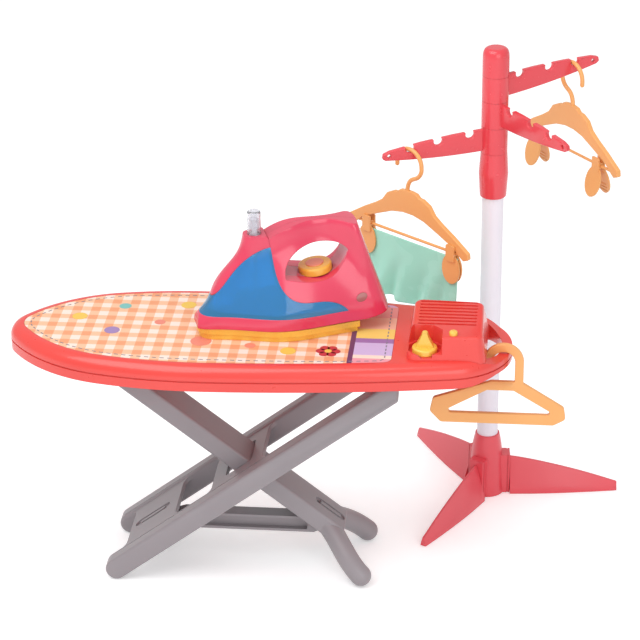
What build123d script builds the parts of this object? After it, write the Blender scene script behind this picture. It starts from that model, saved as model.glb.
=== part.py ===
from build123d import *

# A toy ironing set: board on crossed legs, steam iron, clothes stand and hangers.
# The frame: +X runs along the board to its end loop, +Y away from the front, +Z up, millimetres.
import os
from math import atan2, cos, degrees, pi, radians, sin, sqrt, tan

os.makedirs("parts", exist_ok=True)

# Places of the three free-standing things on the floor
board_nose_x = -314.0
board_axis_y = -95.0
iron_nose_x = -121.0
iron_nose_y = -112.0
iron_heading = 17.5
stand_x = 165.5
stand_y = 70.0

# Board
board_arc_radii = (37.0, 153.5, 450.0, 1650.0)
board_arc_turns = (34.7, 43.2, 13.9, 8.4)
board_top_z = 266.0
board_depth = 25.0
rim_roll = 12.0
rim_groove_depth = 1.2
rim_groove_height = 1.6
rim_groove_z = 252.0
board_wall = 3.0
cover_inset = 14.0
cover_thickness = 1.0
cover_end_x = 75.0
cover_corner = 9.0
cover_gap = 0.3
loop_bar = 10.5
loop_height = 11.0
loop_z = 251.5
loop_taper_x = 154.0
loop_taper_length = 24.0
loop_opening_x = 161.5
loop_corner = 4.0
rib_thickness = 2.2
rib_spacing = 58.0
rib_depth = 9.0
rail_offset = 12.0
rail_from_x = -282.0
rail_to_x = -202.0
cut_over = 20.0

# Crossed legs
pivot_z = 230.0
outer_pivot_x = 74.0
cross_x = -72.5
cross_z = 114.0
outer_slope = 37.2
beam_spacing = 94.0
beam_width = 20.0
beam_depth = 22.0
beam_edge = 3.5
outer_top_x = 82.0
beam_groove = 1.0
beam_groove_inset = 4.5
panel_drop = 1.5
panel_thickness = 4.0
panel_corner = 9.0
lower_panel_from = -153.0
lower_panel_to = -88.0
ring_from = -40.0
ring_to = 26.0
ring_open_from = -23.0
ring_open_to = 11.0
ring_boss_depth = 16.0
slot_centre = -124.0
slot_length = 46.0
slot_width = 11.0
slot_depth = 2.0
slot_rib = 4.5
slot_rib_length = 33.0
slot_hole = 5.0
slot_hole_reach = 19.0
inner_slot_centre = 96.0
inner_slot_length = 38.0
inner_width = 42.0
inner_depth = 20.0
inner_wall = 3.0
inner_edge = 3.0
inner_end_reach = 118.0
channel_end_reach = 112.0
rail_clearance = 0.3
toe_radius = 11.0
toe_path = ((98.0, 8.0, -1.3), (113.0, 19.0, -2.0), (128.0, 32.0, -4.2), (155.3, 46.0, -8.4))
leg_side_gap = 0.4
pin_radius = 2.5
pin_clearance = 0.06
hinge_lug_thickness = 5.0
hinge_lug_from_x = 47.0
hinge_lug_to_x = 83.0
hinge_lug_drop = 11.0
hinge_lug_corner = 6.0
hinge_lug_gap = 0.5
hinge_pin_half = 45.0
strut_reach = 104.6
strut_width = 16.0
strut_above = 6.5
strut_below = 11.5
strut_web = 4.0
strut_flange = 3.0
strut_eye_radius = 5.5
strut_jaw_radius = 5.2
strut_taper = 12.0
strut_ease = 1.5
strut_pin_half = 20.5
strut_jaw_gap = 0.3
latch_bar_radius = 2.2
latch_ear_thickness = 3.0
latch_ear_radius = 5.0
latch_ear_gap = 0.4

# Clothes stand
stack_radius = 13.75
stack_joints_z = (349.0, 398.5, 427.0, 455.0, 482.0)
stack_gap = 0.15
cap_top_z = 511.5
cap_straight = 14.0
cap_flat_radius = 7.0
collar_wide_z = 375.0
collar_wide_radius = 15.35
collar_edge = 1.5
spindle_radius = 8.0
spindle_hold = 14.0
pole_radius = 11.25
pole_wall = 1.4
pole_bottom_z = 34.0
pole_socket = 22.0
hub_mouth_z = 70.5
hub_profile = ((12.9, 70.5), (14.0, 66.0), (16.2, 52.0), (17.8, 28.0), (19.5, 0.0))
hub_block_reach = 25.0
hub_block_width = 17.0
hub_block_height = 46.0
hub_block_groove = 1.2
hub_block_edge = 1.0
foot_azimuths = (4.2, 124.2, -115.8)
foot_sections = (
    (25.3, 12.0, 41.0),
    (54.0, 11.4, 35.5),
    (82.0, 9.8, 28.5),
    (108.0, 7.4, 21.0),
    (128.0, 5.2, 14.5),
    (142.5, 3.4, 9.5),
)
foot_band = 6.0
foot_band_end = 3.4
foot_tip_edge = 0.8
foot_draft = 0.6
foot_ridge = 1.0
foot_neck = 5.0
foot_tongue_width = 12.0
foot_tongue_thickness = 3.0
foot_tongue_height = 38.0
foot_tongue_reach = 20.0
foot_slot_clearance = 0.1
arm_azimuths = (200.0, -51.0, 30.0)
arm_rises = (-7.0, 0.0, 12.5)
arm_thickness = 5.0
arm_edge = 0.8
arm_reach = 120.0
arm_root = 10.0
arm_top = ((10.0, 26.0), (45.0, 25.0), (79.0, 22.6), (112.0, 18.6))
arm_tip = ((119.0, 16.0), (120.0, 11.5), (117.0, 9.2))
arm_belly = ((65.0, 4.0), (10.0, 2.5))
arm_notches = (27.0, 61.0, 91.0)
arm_notch_radius = 4.7
arm_notch_depth = 7.3
arm_notch_mouth = 7.4
arm_hole_radius = 1.9
arm_hole_place = (113.0, 13.6)

# Hangers with a rod and clips: u along the shoulders, w up from the top of the hook
left_hanger_place = (80.1, 38.9, 412.6)
left_hanger_heading = -38.0
right_hanger_place = (243.6, 114.6, 483.3)
right_hanger_heading = -52.0
hook_wire_radius = 2.25
hook_radius = 16.5
hook_tip_length = 3.5
neck_path = ((15.3, -26.0), (10.5, -31.5), (2.5, -36.0), (-1.5, -43.0), (-1.5, -54.0))
shoulder_half_outline = (
    (4.5, -48.0),
    (11.0, -49.0),
    (15.0, -52.5),
    (20.0, -53.0),
    (29.0, -57.5),
    (35.5, -66.5),
    (46.0, -73.5),
    (62.0, -82.5),
    (81.5, -95.0),
    (82.5, -101.5),
    (75.5, -104.5),
    (69.0, -99.8),
    (62.0, -94.0),
    (41.0, -84.5),
    (22.0, -76.5),
    (7.0, -73.5),
)
shoulder_corner = 1.6
shoulder_thickness = 5.0
shoulder_edge = 0.9
rod_radius = 1.5
rod_drop = 99.5
rod_half_length = 76.0
clip_bore = 1.6
clip_ring_radius = 3.3
clip_ring_length = 9.0
clip_leaf_thickness = 1.6
clip_leaf_inner = 1.15
clip_tab_inner = 2.9
clip_leaf_half_width = 11.5
clip_leaf_half_length = 16.5
clip_tab_width = 11.0
clip_tab_height = 9.0
clip_rib_length = 12.0
clip_rib_width = 1.0
clip_rib_height = 0.55
clip_rib_pitch = 4.0
clip_rib_drop = 27.0
left_clip_places = (-56.0, 59.5)
right_clip_places = (-55.0, 48.0)
left_clip_splay = 0.0
right_clip_splay = 14.0

# Cloth: waves across its width that deepen towards the hem
cloth_from = -62.0
cloth_to = 67.0
cloth_top_drop = 105.0
cloth_thickness = 1.0
cloth_waves = 8
cloth_wave_shares = (0.8, -0.7, 1.0, -0.9, 0.65, -1.0, 0.85, -0.6)
cloth_sections = ((0.0, 0.05), (26.0, 0.1), (34.0, 1.2), (50.0, 4.0), (72.0, 6.0))

# Plain hanger on the end loop: a flat bar bent round, in a plane across the board
plain_y = -112.0
plain_hook_centre = (184.3, 247.5)
plain_hook_inner = 11.2
plain_hook_outer = 20.0
plain_thickness = 5.0
plain_edge = 1.0
plain_tip_angle = 205.0
plain_neck_length = 24.0
plain_outline = (
    (19.8, -23.0),
    (61.0, -49.0),
    (63.0, -62.0),
    (51.0, -69.0),
    (-62.0, -69.0),
    (-73.0, -57.0),
    (-70.0, -42.0),
    (-12.0, -21.5),
    (9.0, -21.5),
)
plain_outline_corner = 4.5
plain_triangle = ((-16.0, -31.5), (10.5, -31.5), (53.0, -57.5), (-61.0, -57.5))
plain_triangle_corner = 2.5

# Iron: t along its axis from the nose, w up from the deck
iron_sections = (
    (8.0, -1.8, 39.5, 31.0, 0.5),
    (25.0, 2.0, 38.5, 30.0, 0.5),
    (45.0, 14.0, 33.0, 26.0, 0.5),
    (65.0, 25.5, 24.5, 20.5, 0.55),
    (85.0, 41.5, 16.0, 16.0, 0.75),
    (104.0, 47.5, 12.0, 13.5, 0.93),
    (112.0, 49.5, 10.5, 11.5, 0.9),
    (117.0, 51.0, 5.0, 6.0, 0.9),
)
iron_rear_top = (161.6, 110.5)
iron_rear_lean = 0.3455
iron_shares = (0.12, 0.40, 0.86)
iron_ridge = ((-1.8, 12.0), (1.5, 25.0), (9.0, 37.0), (18.5, 54.0), (30.5, 72.0), (40.8, 83.0))
iron_collar = ((40.8, 83.0), (48.0, 104.5), (69.5, 104.5), (71.0, 102.0))
iron_handle_top = ((71.0, 102.0), (82.0, 107.5), (97.5, 112.6), (119.0, 115.0), (141.0, 114.2), (161.6, 110.5))
iron_rear_low = ((192.0, 23.0), (189.5, 18.0), (166.0, 13.0), (-1.8, 12.0))
opening_arch = (
    (85.5, 62.0),
    (87.0, 74.0),
    (96.0, 85.0),
    (112.0, 92.0),
    (131.0, 92.6),
    (144.0, 89.5),
    (150.5, 84.0),
)
opening_floor = ((85.5, 62.0), (103.0, 58.5), (121.0, 57.5), (134.0, 60.5), (144.0, 70.0), (150.5, 84.0))
tank_rear = (
    (72.5, 93.5),
    (76.0, 68.6),
    (81.6, 52.5),
    (90.0, 43.8),
    (106.0, 39.3),
    (120.5, 38.5),
    (132.0, 36.0),
    (147.3, 25.0),
)
tank_front = ((-5.0, 31.0), (7.5, 38.5), (19.0, 48.5), (33.0, 66.0), (46.0, 79.5), (72.5, 93.5))
tank_wall = 1.8
tank_hollow_sections = (
    (20.0, ((8.0, 0.0), (24.0, 14.0), (76.0, 35.0), (150.0, 30.0))),
    (96.0, ((55.0, 0.0), (62.0, 7.0), (72.0, 9.0), (96.0, 9.0))),
)
sole_height = 12.0
sole_step = 5.5
sole_inset = 3.0
sole_rim_inset = 1.0
sole_length = 160.0
ramp_half_width = 12.0
ramp_thickness = 2.0
dial_place = (120.5, 58.6)
dial_tilt = 7.5
dial_radius = 17.0
dial_height = 7.5
dial_edge = 2.0
dial_shaft_radius = 3.0
dial_shaft_length = 7.0
dial_cap_radius = 9.0
dial_cap_depth = 1.0
dial_cap_height = 1.8
dial_lift = 0.3
dial_seat_gap = 0.6
lens_place = (161.5, 36.5)
lens_axes = (5.8, 4.2)
lens_tilt = 22.0
lens_floor = 24.0
spray_place = 59.0
spray_seat = 101.5
spray_cap_radius = 6.9
spray_cap_wall = 1.0
spray_cap_top = 128.5
spray_cap_dome = 2.5
spray_cap_hold = 0.1
pump_radius = 5.2
pump_from = 88.0
pump_flange = 1.5
spray_button_radius = 4.6
spray_button_from = 110.0
spray_button_top = 121.0
spray_button_edge = 1.2
spray_stem_radius = 2.5
spray_travel = 5.0
stem_rest = 0.5
spray_nozzle_radius = 0.8
tube_radius = 1.6
tube_to = 30.0
screw_places = ((95.0, 102.0), (160.0, 60.0), (165.0, 28.0), (60.0, 18.0))
screw_head_radius = 2.7
screw_head_height = 1.8
screw_recess_radius = 3.2
screw_radius = 1.2
screw_seat = 6.0
screw_end = -5.0
screw_slot = 0.7

# Control box at the square end of the board: x in the row frame, y from the board's axis
box_base = ((88.0, -62.0), (168.0, -54.0), (168.0, 40.0), (88.0, 48.0))
box_top = ((93.0, -58.5), (164.0, -51.5), (162.0, 29.0), (94.0, 32.0))
box_base_z = 258.0
box_top_z = 290.0
box_corner = 9.0
box_edge = 2.5
box_wall = 2.4
box_groove_count = 8
box_groove_length = 58.0
box_groove_width = 3.4
box_groove_depth = 2.0
box_groove_x = 128.0
box_groove_y = 1.5
box_groove_pitch = 7.3
shelf_top_z = 272.5
shelf_back_y = -27.0
shelf_end_x = 124.5
shelf_corner = 10.0
recess_floor_z = 268.5
knob_x = 107.0
knob_y = -43.5
recess_flat_radius = 15.8
knob_skirt_radius = 12.5
knob_skirt_height = 6.0
knob_skirt_edge = 2.0
knob_height = 21.0
knob_grip_thickness = 8.0
knob_grip_top = 3.4
knob_neck_radius = 8.5
knob_shaft_radius = 3.0
knob_lift = 0.3
button_x = 135.0
button_y = -47.0
button_radius = 4.2
button_rise = 4.0
button_travel = 1.6
button_stem_length = 9.0
button_flange = 1.6
button_flange_thickness = 1.5

board_plane = Plane(origin=(board_nose_x, board_axis_y, board_top_z))
board_bottom_z = board_top_z - board_depth
outer_end_reach = (cross_z - beam_depth / 2) / sin(radians(outer_slope))
inner_slope = atan2(pivot_z - cross_z, outer_pivot_x - cross_x)


def side_plane(origin, slope=0.0, inset=0.0):
    """A plane that looks along +Y: its x runs along the slope in XZ, its y upwards across it."""
    turn = radians(slope)
    x, y, z = origin
    return Plane(origin=(x, y + inset, z), x_dir=(cos(turn), 0, sin(turn)), z_dir=(0, -1, 0))


def leg_plane(slope, height=0.0):
    """A plane in a leg through the crossing: x down or up its slope, y to the back."""
    turn = radians(slope)
    flat = Plane(origin=cross, x_dir=(cos(turn), 0, sin(turn)), z_dir=(-sin(turn), 0, cos(turn)))
    return flat.offset(height)


def save(part, name):
    """Label a finished piece and write it under its own name."""
    part.label = name
    export_step(part, f"parts/{name}.step")


def arc_step(start, heading, radius, turn):
    """The end of an arc that turns to the right, and the heading there."""
    after = heading - radians(turn)
    x = start[0] + radius * (sin(heading) - sin(after))
    y = start[1] - radius * (cos(heading) - cos(after))
    return (x, y), after


# Plan of the board: arcs that run on from each other, and a last one that ends square to the axis
board_arc_starts = [((0.0, 0.0), pi / 2)]
for arc_radius, arc_turn in zip(board_arc_radii, board_arc_turns):
    board_arc_starts.append(arc_step(*board_arc_starts[-1], arc_radius, arc_turn))
last_start, last_heading = board_arc_starts[-1]
last_radius = last_start[1] / cos(last_heading)
last_turn = degrees(last_heading) + 90
board_length = arc_step(last_start, last_heading, last_radius, last_turn)[0][0]
board_half_width = max(start[1] for start, _ in board_arc_starts)
board_arcs = list(zip(board_arc_starts, board_arc_radii + (last_radius,), board_arc_turns + (last_turn,)))

with BuildSketch() as board_plan:
    with BuildLine():
        for (arc_start, arc_heading), arc_radius, arc_turn in board_arcs:
            heading_now = (cos(arc_heading), sin(arc_heading))
            JernArc(start=arc_start, tangent=heading_now, radius=arc_radius, arc_size=-arc_turn)
        mirror(about=Plane.XZ)
    make_face()

cover_local_end = cover_end_x - board_nose_x
with BuildSketch() as cover_plan:
    offset(board_plan.sketch, amount=-cover_inset)
    with Locations((cover_local_end + board_length / 2, 0)):
        Rectangle(board_length, 2 * board_half_width, mode=Mode.SUBTRACT)

with BuildPart() as board_cover:
    with BuildSketch(board_plane.offset(-cover_thickness)):
        add(cover_plan.sketch)
    extrude(amount=cover_thickness)
    fillet(board_cover.edges().filter_by(Axis.Z).group_by(Axis.X)[-1], radius=cover_corner)

with BuildPart() as cover_recess:
    with BuildSketch(board_plane.offset(-cover_thickness)):
        offset(cover_plan.sketch, amount=cover_gap, kind=Kind.INTERSECTION)
    extrude(amount=cut_over)
    fillet(cover_recess.edges().filter_by(Axis.Z).group_by(Axis.X)[-1], radius=cover_corner + cover_gap)

opening_local_x = loop_opening_x - board_nose_x
with BuildPart() as loop_opening:
    with BuildSketch(board_plane.offset(-board_depth - cut_over)):
        offset(board_plan.sketch, amount=-loop_bar)
        with Locations((opening_local_x - board_length / 2, 0)):
            Rectangle(board_length, 2 * board_half_width, mode=Mode.SUBTRACT)
    extrude(amount=board_depth + 2 * cut_over)
    fillet(loop_opening.edges().filter_by(Axis.Z).group_by(Axis.X)[0], radius=loop_corner)

cavity_depth = board_depth - board_wall
cavity_end_x = loop_opening_x - board_wall
with BuildPart() as cavity:
    with BuildSketch(board_plane.offset(-board_depth - cut_over)):
        offset(board_plan.sketch, amount=-board_wall)
        with Locations((cavity_end_x - board_nose_x + board_length / 2, 0)):
            Rectangle(board_length, 2 * board_half_width, mode=Mode.SUBTRACT)
    extrude(amount=cut_over + cavity_depth)
    fillet(cavity.faces().sort_by(Axis.Z)[-1].edges(), radius=rim_roll - board_wall)

# Ribs across the hollow, the two rails that the inner leg bears on, and the lugs of the hinge
deck_under_z = board_top_z - board_wall
rail_bottom_z = pivot_z + inner_depth / 2 + rail_clearance
rib_count = int(board_length / rib_spacing)
rib_centre_x = board_nose_x + board_length / 2
with BuildPart() as ribs:
    with BuildSketch(Plane.XY.offset(deck_under_z)):
        with Locations((rib_centre_x, board_axis_y)):
            with GridLocations(rib_spacing, 0, rib_count, 1):
                Rectangle(rib_thickness, 2 * board_half_width)
            Rectangle(board_length, rib_thickness)
    extrude(amount=-rib_depth)
    add(cavity.part, mode=Mode.INTERSECT)

rail_length = rail_to_x - rail_from_x
with BuildPart() as rails:
    with BuildSketch(Plane.XY.offset(rail_bottom_z)):
        with Locations((rail_from_x + rail_length / 2, board_axis_y)):
            with GridLocations(0, 2 * rail_offset, 1, 2):
                Rectangle(rail_length, rib_thickness)
    extrude(amount=deck_under_z - rail_bottom_z)

beam_inner_y = (beam_spacing - beam_width) / 2
lug_outer_y = beam_inner_y - hinge_lug_gap
lug_bottom_z = pivot_z - hinge_lug_drop
with BuildPart() as hinge_lugs:
    with BuildSketch(side_plane((0, board_axis_y, 0), inset=-lug_outer_y + hinge_lug_thickness)):
        with BuildLine():
            FilletPolyline(
                (hinge_lug_from_x, deck_under_z),
                (hinge_lug_from_x, lug_bottom_z),
                (hinge_lug_to_x, lug_bottom_z),
                (hinge_lug_to_x, deck_under_z),
                radius=hinge_lug_corner,
            )
            Line((hinge_lug_from_x, deck_under_z), (hinge_lug_to_x, deck_under_z))
        make_face()
        with Locations((outer_pivot_x, pivot_z)):
            Circle(pin_radius, mode=Mode.SUBTRACT)
    extrude(amount=hinge_lug_thickness)
    mirror(about=Plane.XZ.offset(-board_axis_y))

groove_drop = board_top_z - rim_groove_z
loop_low_z = loop_z - loop_height / 2
loop_high_z = loop_z + loop_height / 2
loop_taper_end = loop_taper_x + loop_taper_length
board_end_x = board_nose_x + board_length
with BuildPart() as loop_trim:
    with BuildSketch(side_plane((0, board_axis_y, 0))):
        with BuildLine():
            Polyline(
                (loop_taper_x, board_top_z),
                (loop_taper_end, loop_high_z),
                (board_end_x + cut_over, loop_high_z),
                (board_end_x + cut_over, board_top_z + cut_over),
                (loop_taper_x, board_top_z + cut_over),
                close=True,
            )
        make_face()
        with BuildLine():
            Polyline(
                (loop_taper_x, board_bottom_z),
                (loop_taper_end, loop_low_z),
                (board_end_x + cut_over, loop_low_z),
                (board_end_x + cut_over, board_bottom_z - cut_over),
                (loop_taper_x, board_bottom_z - cut_over),
                close=True,
            )
        make_face()
    extrude(amount=board_half_width, both=True)

with BuildPart() as board_body:
    with BuildSketch(board_plane.offset(-board_depth)):
        add(board_plan.sketch)
    extrude(amount=board_depth)
    fillet(board_body.faces().sort_by(Axis.Z)[-1].edges(), radius=rim_roll)
    add(loop_trim.part, mode=Mode.SUBTRACT)

with BuildPart() as board_shell:
    add(board_body.part)
    with BuildSketch(board_plane.offset(-groove_drop)):
        offset(board_plan.sketch, amount=cut_over)
        offset(board_plan.sketch, amount=-rim_groove_depth, mode=Mode.SUBTRACT)
    extrude(amount=-rim_groove_height, mode=Mode.SUBTRACT)
    add(cover_recess.part, mode=Mode.SUBTRACT)
    add(cavity.part, mode=Mode.SUBTRACT)
    add(loop_opening.part, mode=Mode.SUBTRACT)
    add(ribs.part)
    add(rails.part)
    add(hinge_lugs.part)
save(board_shell.part, "board_shell")
save(board_cover.part, "board_cover")

# Knob: a round skirt with a bell-shaped grip and a shaft that turns in the recess floor
knob_plane = Plane(origin=(knob_x, board_axis_y + knob_y, recess_floor_z + knob_lift))
with BuildPart() as station_knob:
    with BuildSketch(knob_plane):
        Circle(knob_skirt_radius)
    extrude(amount=knob_skirt_height)
    fillet(station_knob.faces().sort_by(Axis.Z)[-1].edges(), radius=knob_skirt_edge)
    with BuildSketch(side_plane(knob_plane.origin)):
        with BuildLine():
            Line((-knob_neck_radius, 0), (knob_neck_radius, 0))
            Spline(
                (knob_neck_radius, 0),
                (knob_neck_radius, knob_skirt_height),
                (knob_grip_top, knob_height - knob_grip_top),
                (0, knob_height),
                tangents=((0, 1), (-1, 0)),
            )
            Spline(
                (-knob_neck_radius, 0),
                (-knob_neck_radius, knob_skirt_height),
                (-knob_grip_top, knob_height - knob_grip_top),
                (0, knob_height),
                tangents=((0, 1), (1, 0)),
            )
        make_face()
    extrude(amount=knob_grip_thickness / 2, both=True)
    with BuildSketch(knob_plane):
        Circle(knob_shaft_radius)
    extrude(amount=-knob_lift - box_wall)
save(station_knob.part, "station_knob")

# Button: a domed cap on a stem whose flange stays under the lid of the box
button_plane = Plane(origin=(button_x, board_axis_y + button_y, box_top_z))
with BuildPart() as station_button:
    with BuildSketch(button_plane.offset(-button_stem_length)):
        Circle(button_radius + button_flange)
    extrude(amount=button_flange_thickness)
    with BuildSketch(button_plane.offset(-button_stem_length)):
        Circle(button_radius)
    extrude(amount=button_stem_length + button_rise)
    fillet(station_button.faces().sort_by(Axis.Z)[-1].edges(), radius=button_rise / 2)
save(station_button.part, "station_button")
with BuildPart() as button_well:
    with BuildSketch(button_plane.offset(-button_stem_length - button_travel - pin_clearance)):
        Circle(button_radius + button_flange + pin_clearance)
    extrude(amount=button_stem_length - box_wall + button_travel)
    with BuildSketch(button_plane.offset(-button_stem_length)):
        Circle(button_radius + pin_clearance)
    extrude(amount=cut_over)

# Control box: a drafted, grooved housing with a sunk octagon for the knob, hollow over the deck
box_frame = Plane(origin=(0, board_axis_y, 0))
with BuildPart() as station_box:
    with BuildSketch(box_frame.offset(box_base_z)) as base_face:
        Polygon(*box_base, align=None)
        fillet(base_face.vertices(), radius=box_corner)
    with BuildSketch(box_frame.offset(box_top_z)) as top_face:
        Polygon(*box_top, align=None)
        fillet(top_face.vertices(), radius=box_corner)
    loft()
    fillet(station_box.faces().sort_by(Axis.Z)[-1].edges(), radius=box_edge)
    with BuildSketch(box_frame.offset(shelf_top_z)):
        with BuildLine():
            Polyline(
                (board_nose_x, shelf_back_y - shelf_corner),
                (knob_x - recess_flat_radius - shelf_corner / 2, shelf_back_y - shelf_corner),
                (knob_x - recess_flat_radius + shelf_corner / 2, shelf_back_y),
                (shelf_end_x - shelf_corner, shelf_back_y),
                (shelf_end_x, shelf_back_y - shelf_corner),
                (shelf_end_x, -board_half_width),
                (board_nose_x, -board_half_width),
                close=True,
            )
        make_face()
    extrude(amount=box_top_z, mode=Mode.SUBTRACT)
    with BuildSketch(box_frame.offset(recess_floor_z)):
        with Locations((knob_x, knob_y)):
            RegularPolygon(recess_flat_radius, 8, major_radius=False, rotation=180 / 8)
    extrude(amount=box_top_z, mode=Mode.SUBTRACT)
    with BuildSketch(box_frame.offset(box_top_z - box_groove_depth)):
        with Locations((box_groove_x, box_groove_y)):
            with GridLocations(0, box_groove_pitch, 1, box_groove_count):
                SlotOverall(box_groove_length, box_groove_width)
    extrude(amount=box_groove_depth, mode=Mode.SUBTRACT)
    with BuildSketch(box_frame.offset(box_base_z)) as base_hollow:
        Polygon(*box_base, align=None)
        offset(amount=-box_wall, mode=Mode.REPLACE)
        fillet(base_hollow.vertices(), radius=box_corner - box_wall)
    with BuildSketch(box_frame.offset(recess_floor_z - box_wall)) as shelf_hollow:
        Polygon(*box_base, align=None)
        offset(amount=-2 * box_wall, mode=Mode.REPLACE)
        fillet(shelf_hollow.vertices(), radius=box_corner - box_wall)
    loft(mode=Mode.SUBTRACT)
    add(board_body.part, mode=Mode.SUBTRACT)
    add(button_well.part, mode=Mode.SUBTRACT)
    with BuildSketch(knob_plane.offset(cut_over)):
        Circle(knob_shaft_radius + pin_clearance)
    extrude(amount=-2 * cut_over, mode=Mode.SUBTRACT)
save(station_box.part, "station_box")

# Outer leg: two beams, a lower panel with an oval slot, and a ring that the inner leg passes through
cross = (cross_x, board_axis_y, cross_z)
beam_half = beam_depth / 2
panel_top = beam_half - panel_drop
panel_half = beam_inner_y + beam_edge
pocket_half = inner_width / 2 + leg_side_gap
hinge_place = (outer_pivot_x, board_axis_y, pivot_z)
latch_place = (cross_x - strut_reach * cos(inner_slope), board_axis_y, cross_z - strut_reach * sin(inner_slope))
strut_place = (cross_x + strut_reach * cos(inner_slope), board_axis_y, latch_place[2])
with BuildPart() as outer_beam:
    with BuildSketch(side_plane(cross, outer_slope, inset=-beam_inner_y)):
        with BuildLine():
            top_end = (outer_top_x - cross_x) / cos(radians(outer_slope))
            mitre = beam_half * tan(radians(outer_slope))
            Line((-outer_end_reach, beam_half), (top_end + mitre, beam_half))
            Line((top_end + mitre, beam_half), (top_end - mitre, -beam_half))
            Line((top_end - mitre, -beam_half), (-outer_end_reach, -beam_half))
            ThreePointArc(
                (-outer_end_reach, -beam_half),
                (-outer_end_reach - beam_half, 0),
                (-outer_end_reach, beam_half),
            )
        make_face()
    extrude(amount=beam_width)
    fillet(outer_beam.edges(), radius=beam_edge)
    groove_y = -beam_inner_y - beam_groove_inset
    groove_length = outer_end_reach + top_end
    with BuildSketch(leg_plane(outer_slope, beam_half)):
        with Locations((groove_length / 2 - outer_end_reach, groove_y)):
            Rectangle(groove_length, beam_groove)
    extrude(amount=-beam_groove, mode=Mode.SUBTRACT)

window_depth = ring_from - lower_panel_to
window_centres = (lower_panel_from - window_depth / 2, ring_from - window_depth / 2, ring_to + window_depth / 2)
panel_length = ring_to - lower_panel_from + 2 * panel_corner
with BuildPart() as outer_leg:
    add(outer_beam.part)
    mirror(about=Plane.XZ.offset(-board_axis_y))
    with BuildSketch(leg_plane(outer_slope, panel_top)):
        with Locations(((ring_to + lower_panel_from) / 2, 0)):
            Rectangle(panel_length, 2 * panel_half)
        with Locations(*((centre, 0) for centre in window_centres)):
            RectangleRounded(window_depth, 2 * beam_inner_y, panel_corner, mode=Mode.SUBTRACT)
    extrude(amount=-panel_thickness)
    with BuildSketch(side_plane(cross, outer_slope, inset=beam_inner_y + pin_radius)):
        Circle(ring_boss_depth / 2)
        with Locations((0, panel_top / 2)):
            Rectangle(ring_boss_depth, panel_top)
    extrude(amount=2 * beam_inner_y + 2 * pin_radius)
    with BuildSketch(leg_plane(outer_slope, beam_depth)):
        with Locations(((ring_open_from + ring_open_to) / 2, 0)):
            RectangleRounded(ring_open_to - ring_open_from, 2 * pocket_half, pin_radius)
    extrude(amount=-2 * beam_depth, mode=Mode.SUBTRACT)
    with BuildSketch(leg_plane(outer_slope, panel_top)):
        with Locations((slot_centre, 0)):
            SlotOverall(slot_length, slot_width)
            SlotOverall(slot_rib_length, slot_rib, mode=Mode.SUBTRACT)
    extrude(amount=-slot_depth, mode=Mode.SUBTRACT)
    with BuildSketch(leg_plane(outer_slope, panel_top)):
        with Locations((slot_centre + slot_hole_reach, 0)):
            Circle(slot_hole / 2)
    extrude(amount=-panel_thickness, mode=Mode.SUBTRACT)
    ear_half = strut_width / 2 + latch_ear_gap
    with BuildSketch(side_plane(latch_place, outer_slope, inset=ear_half + latch_ear_thickness)):
        Circle(latch_ear_radius)
        with Locations((0, latch_ear_radius)):
            Rectangle(2 * latch_ear_radius, 2 * latch_ear_radius)
    extrude(amount=2 * ear_half + 2 * latch_ear_thickness)
    with BuildSketch(side_plane(latch_place, outer_slope, inset=ear_half)):
        Rectangle(cut_over, 2 * latch_ear_radius + beam_edge)
    extrude(amount=2 * ear_half, mode=Mode.SUBTRACT)
    with BuildSketch(side_plane(latch_place, inset=ear_half)):
        Circle(latch_bar_radius)
    extrude(amount=2 * ear_half)
    with BuildSketch(side_plane(cross, inset=beam_inner_y + 2 * pin_radius)):
        Circle(pin_radius)
    extrude(amount=2 * beam_inner_y + 4 * pin_radius, mode=Mode.SUBTRACT)
    with BuildSketch(side_plane(hinge_place, inset=hinge_pin_half)):
        Circle(pin_radius + pin_clearance)
    extrude(amount=2 * hinge_pin_half, mode=Mode.SUBTRACT)
save(outer_leg.part, "outer_leg")

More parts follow.
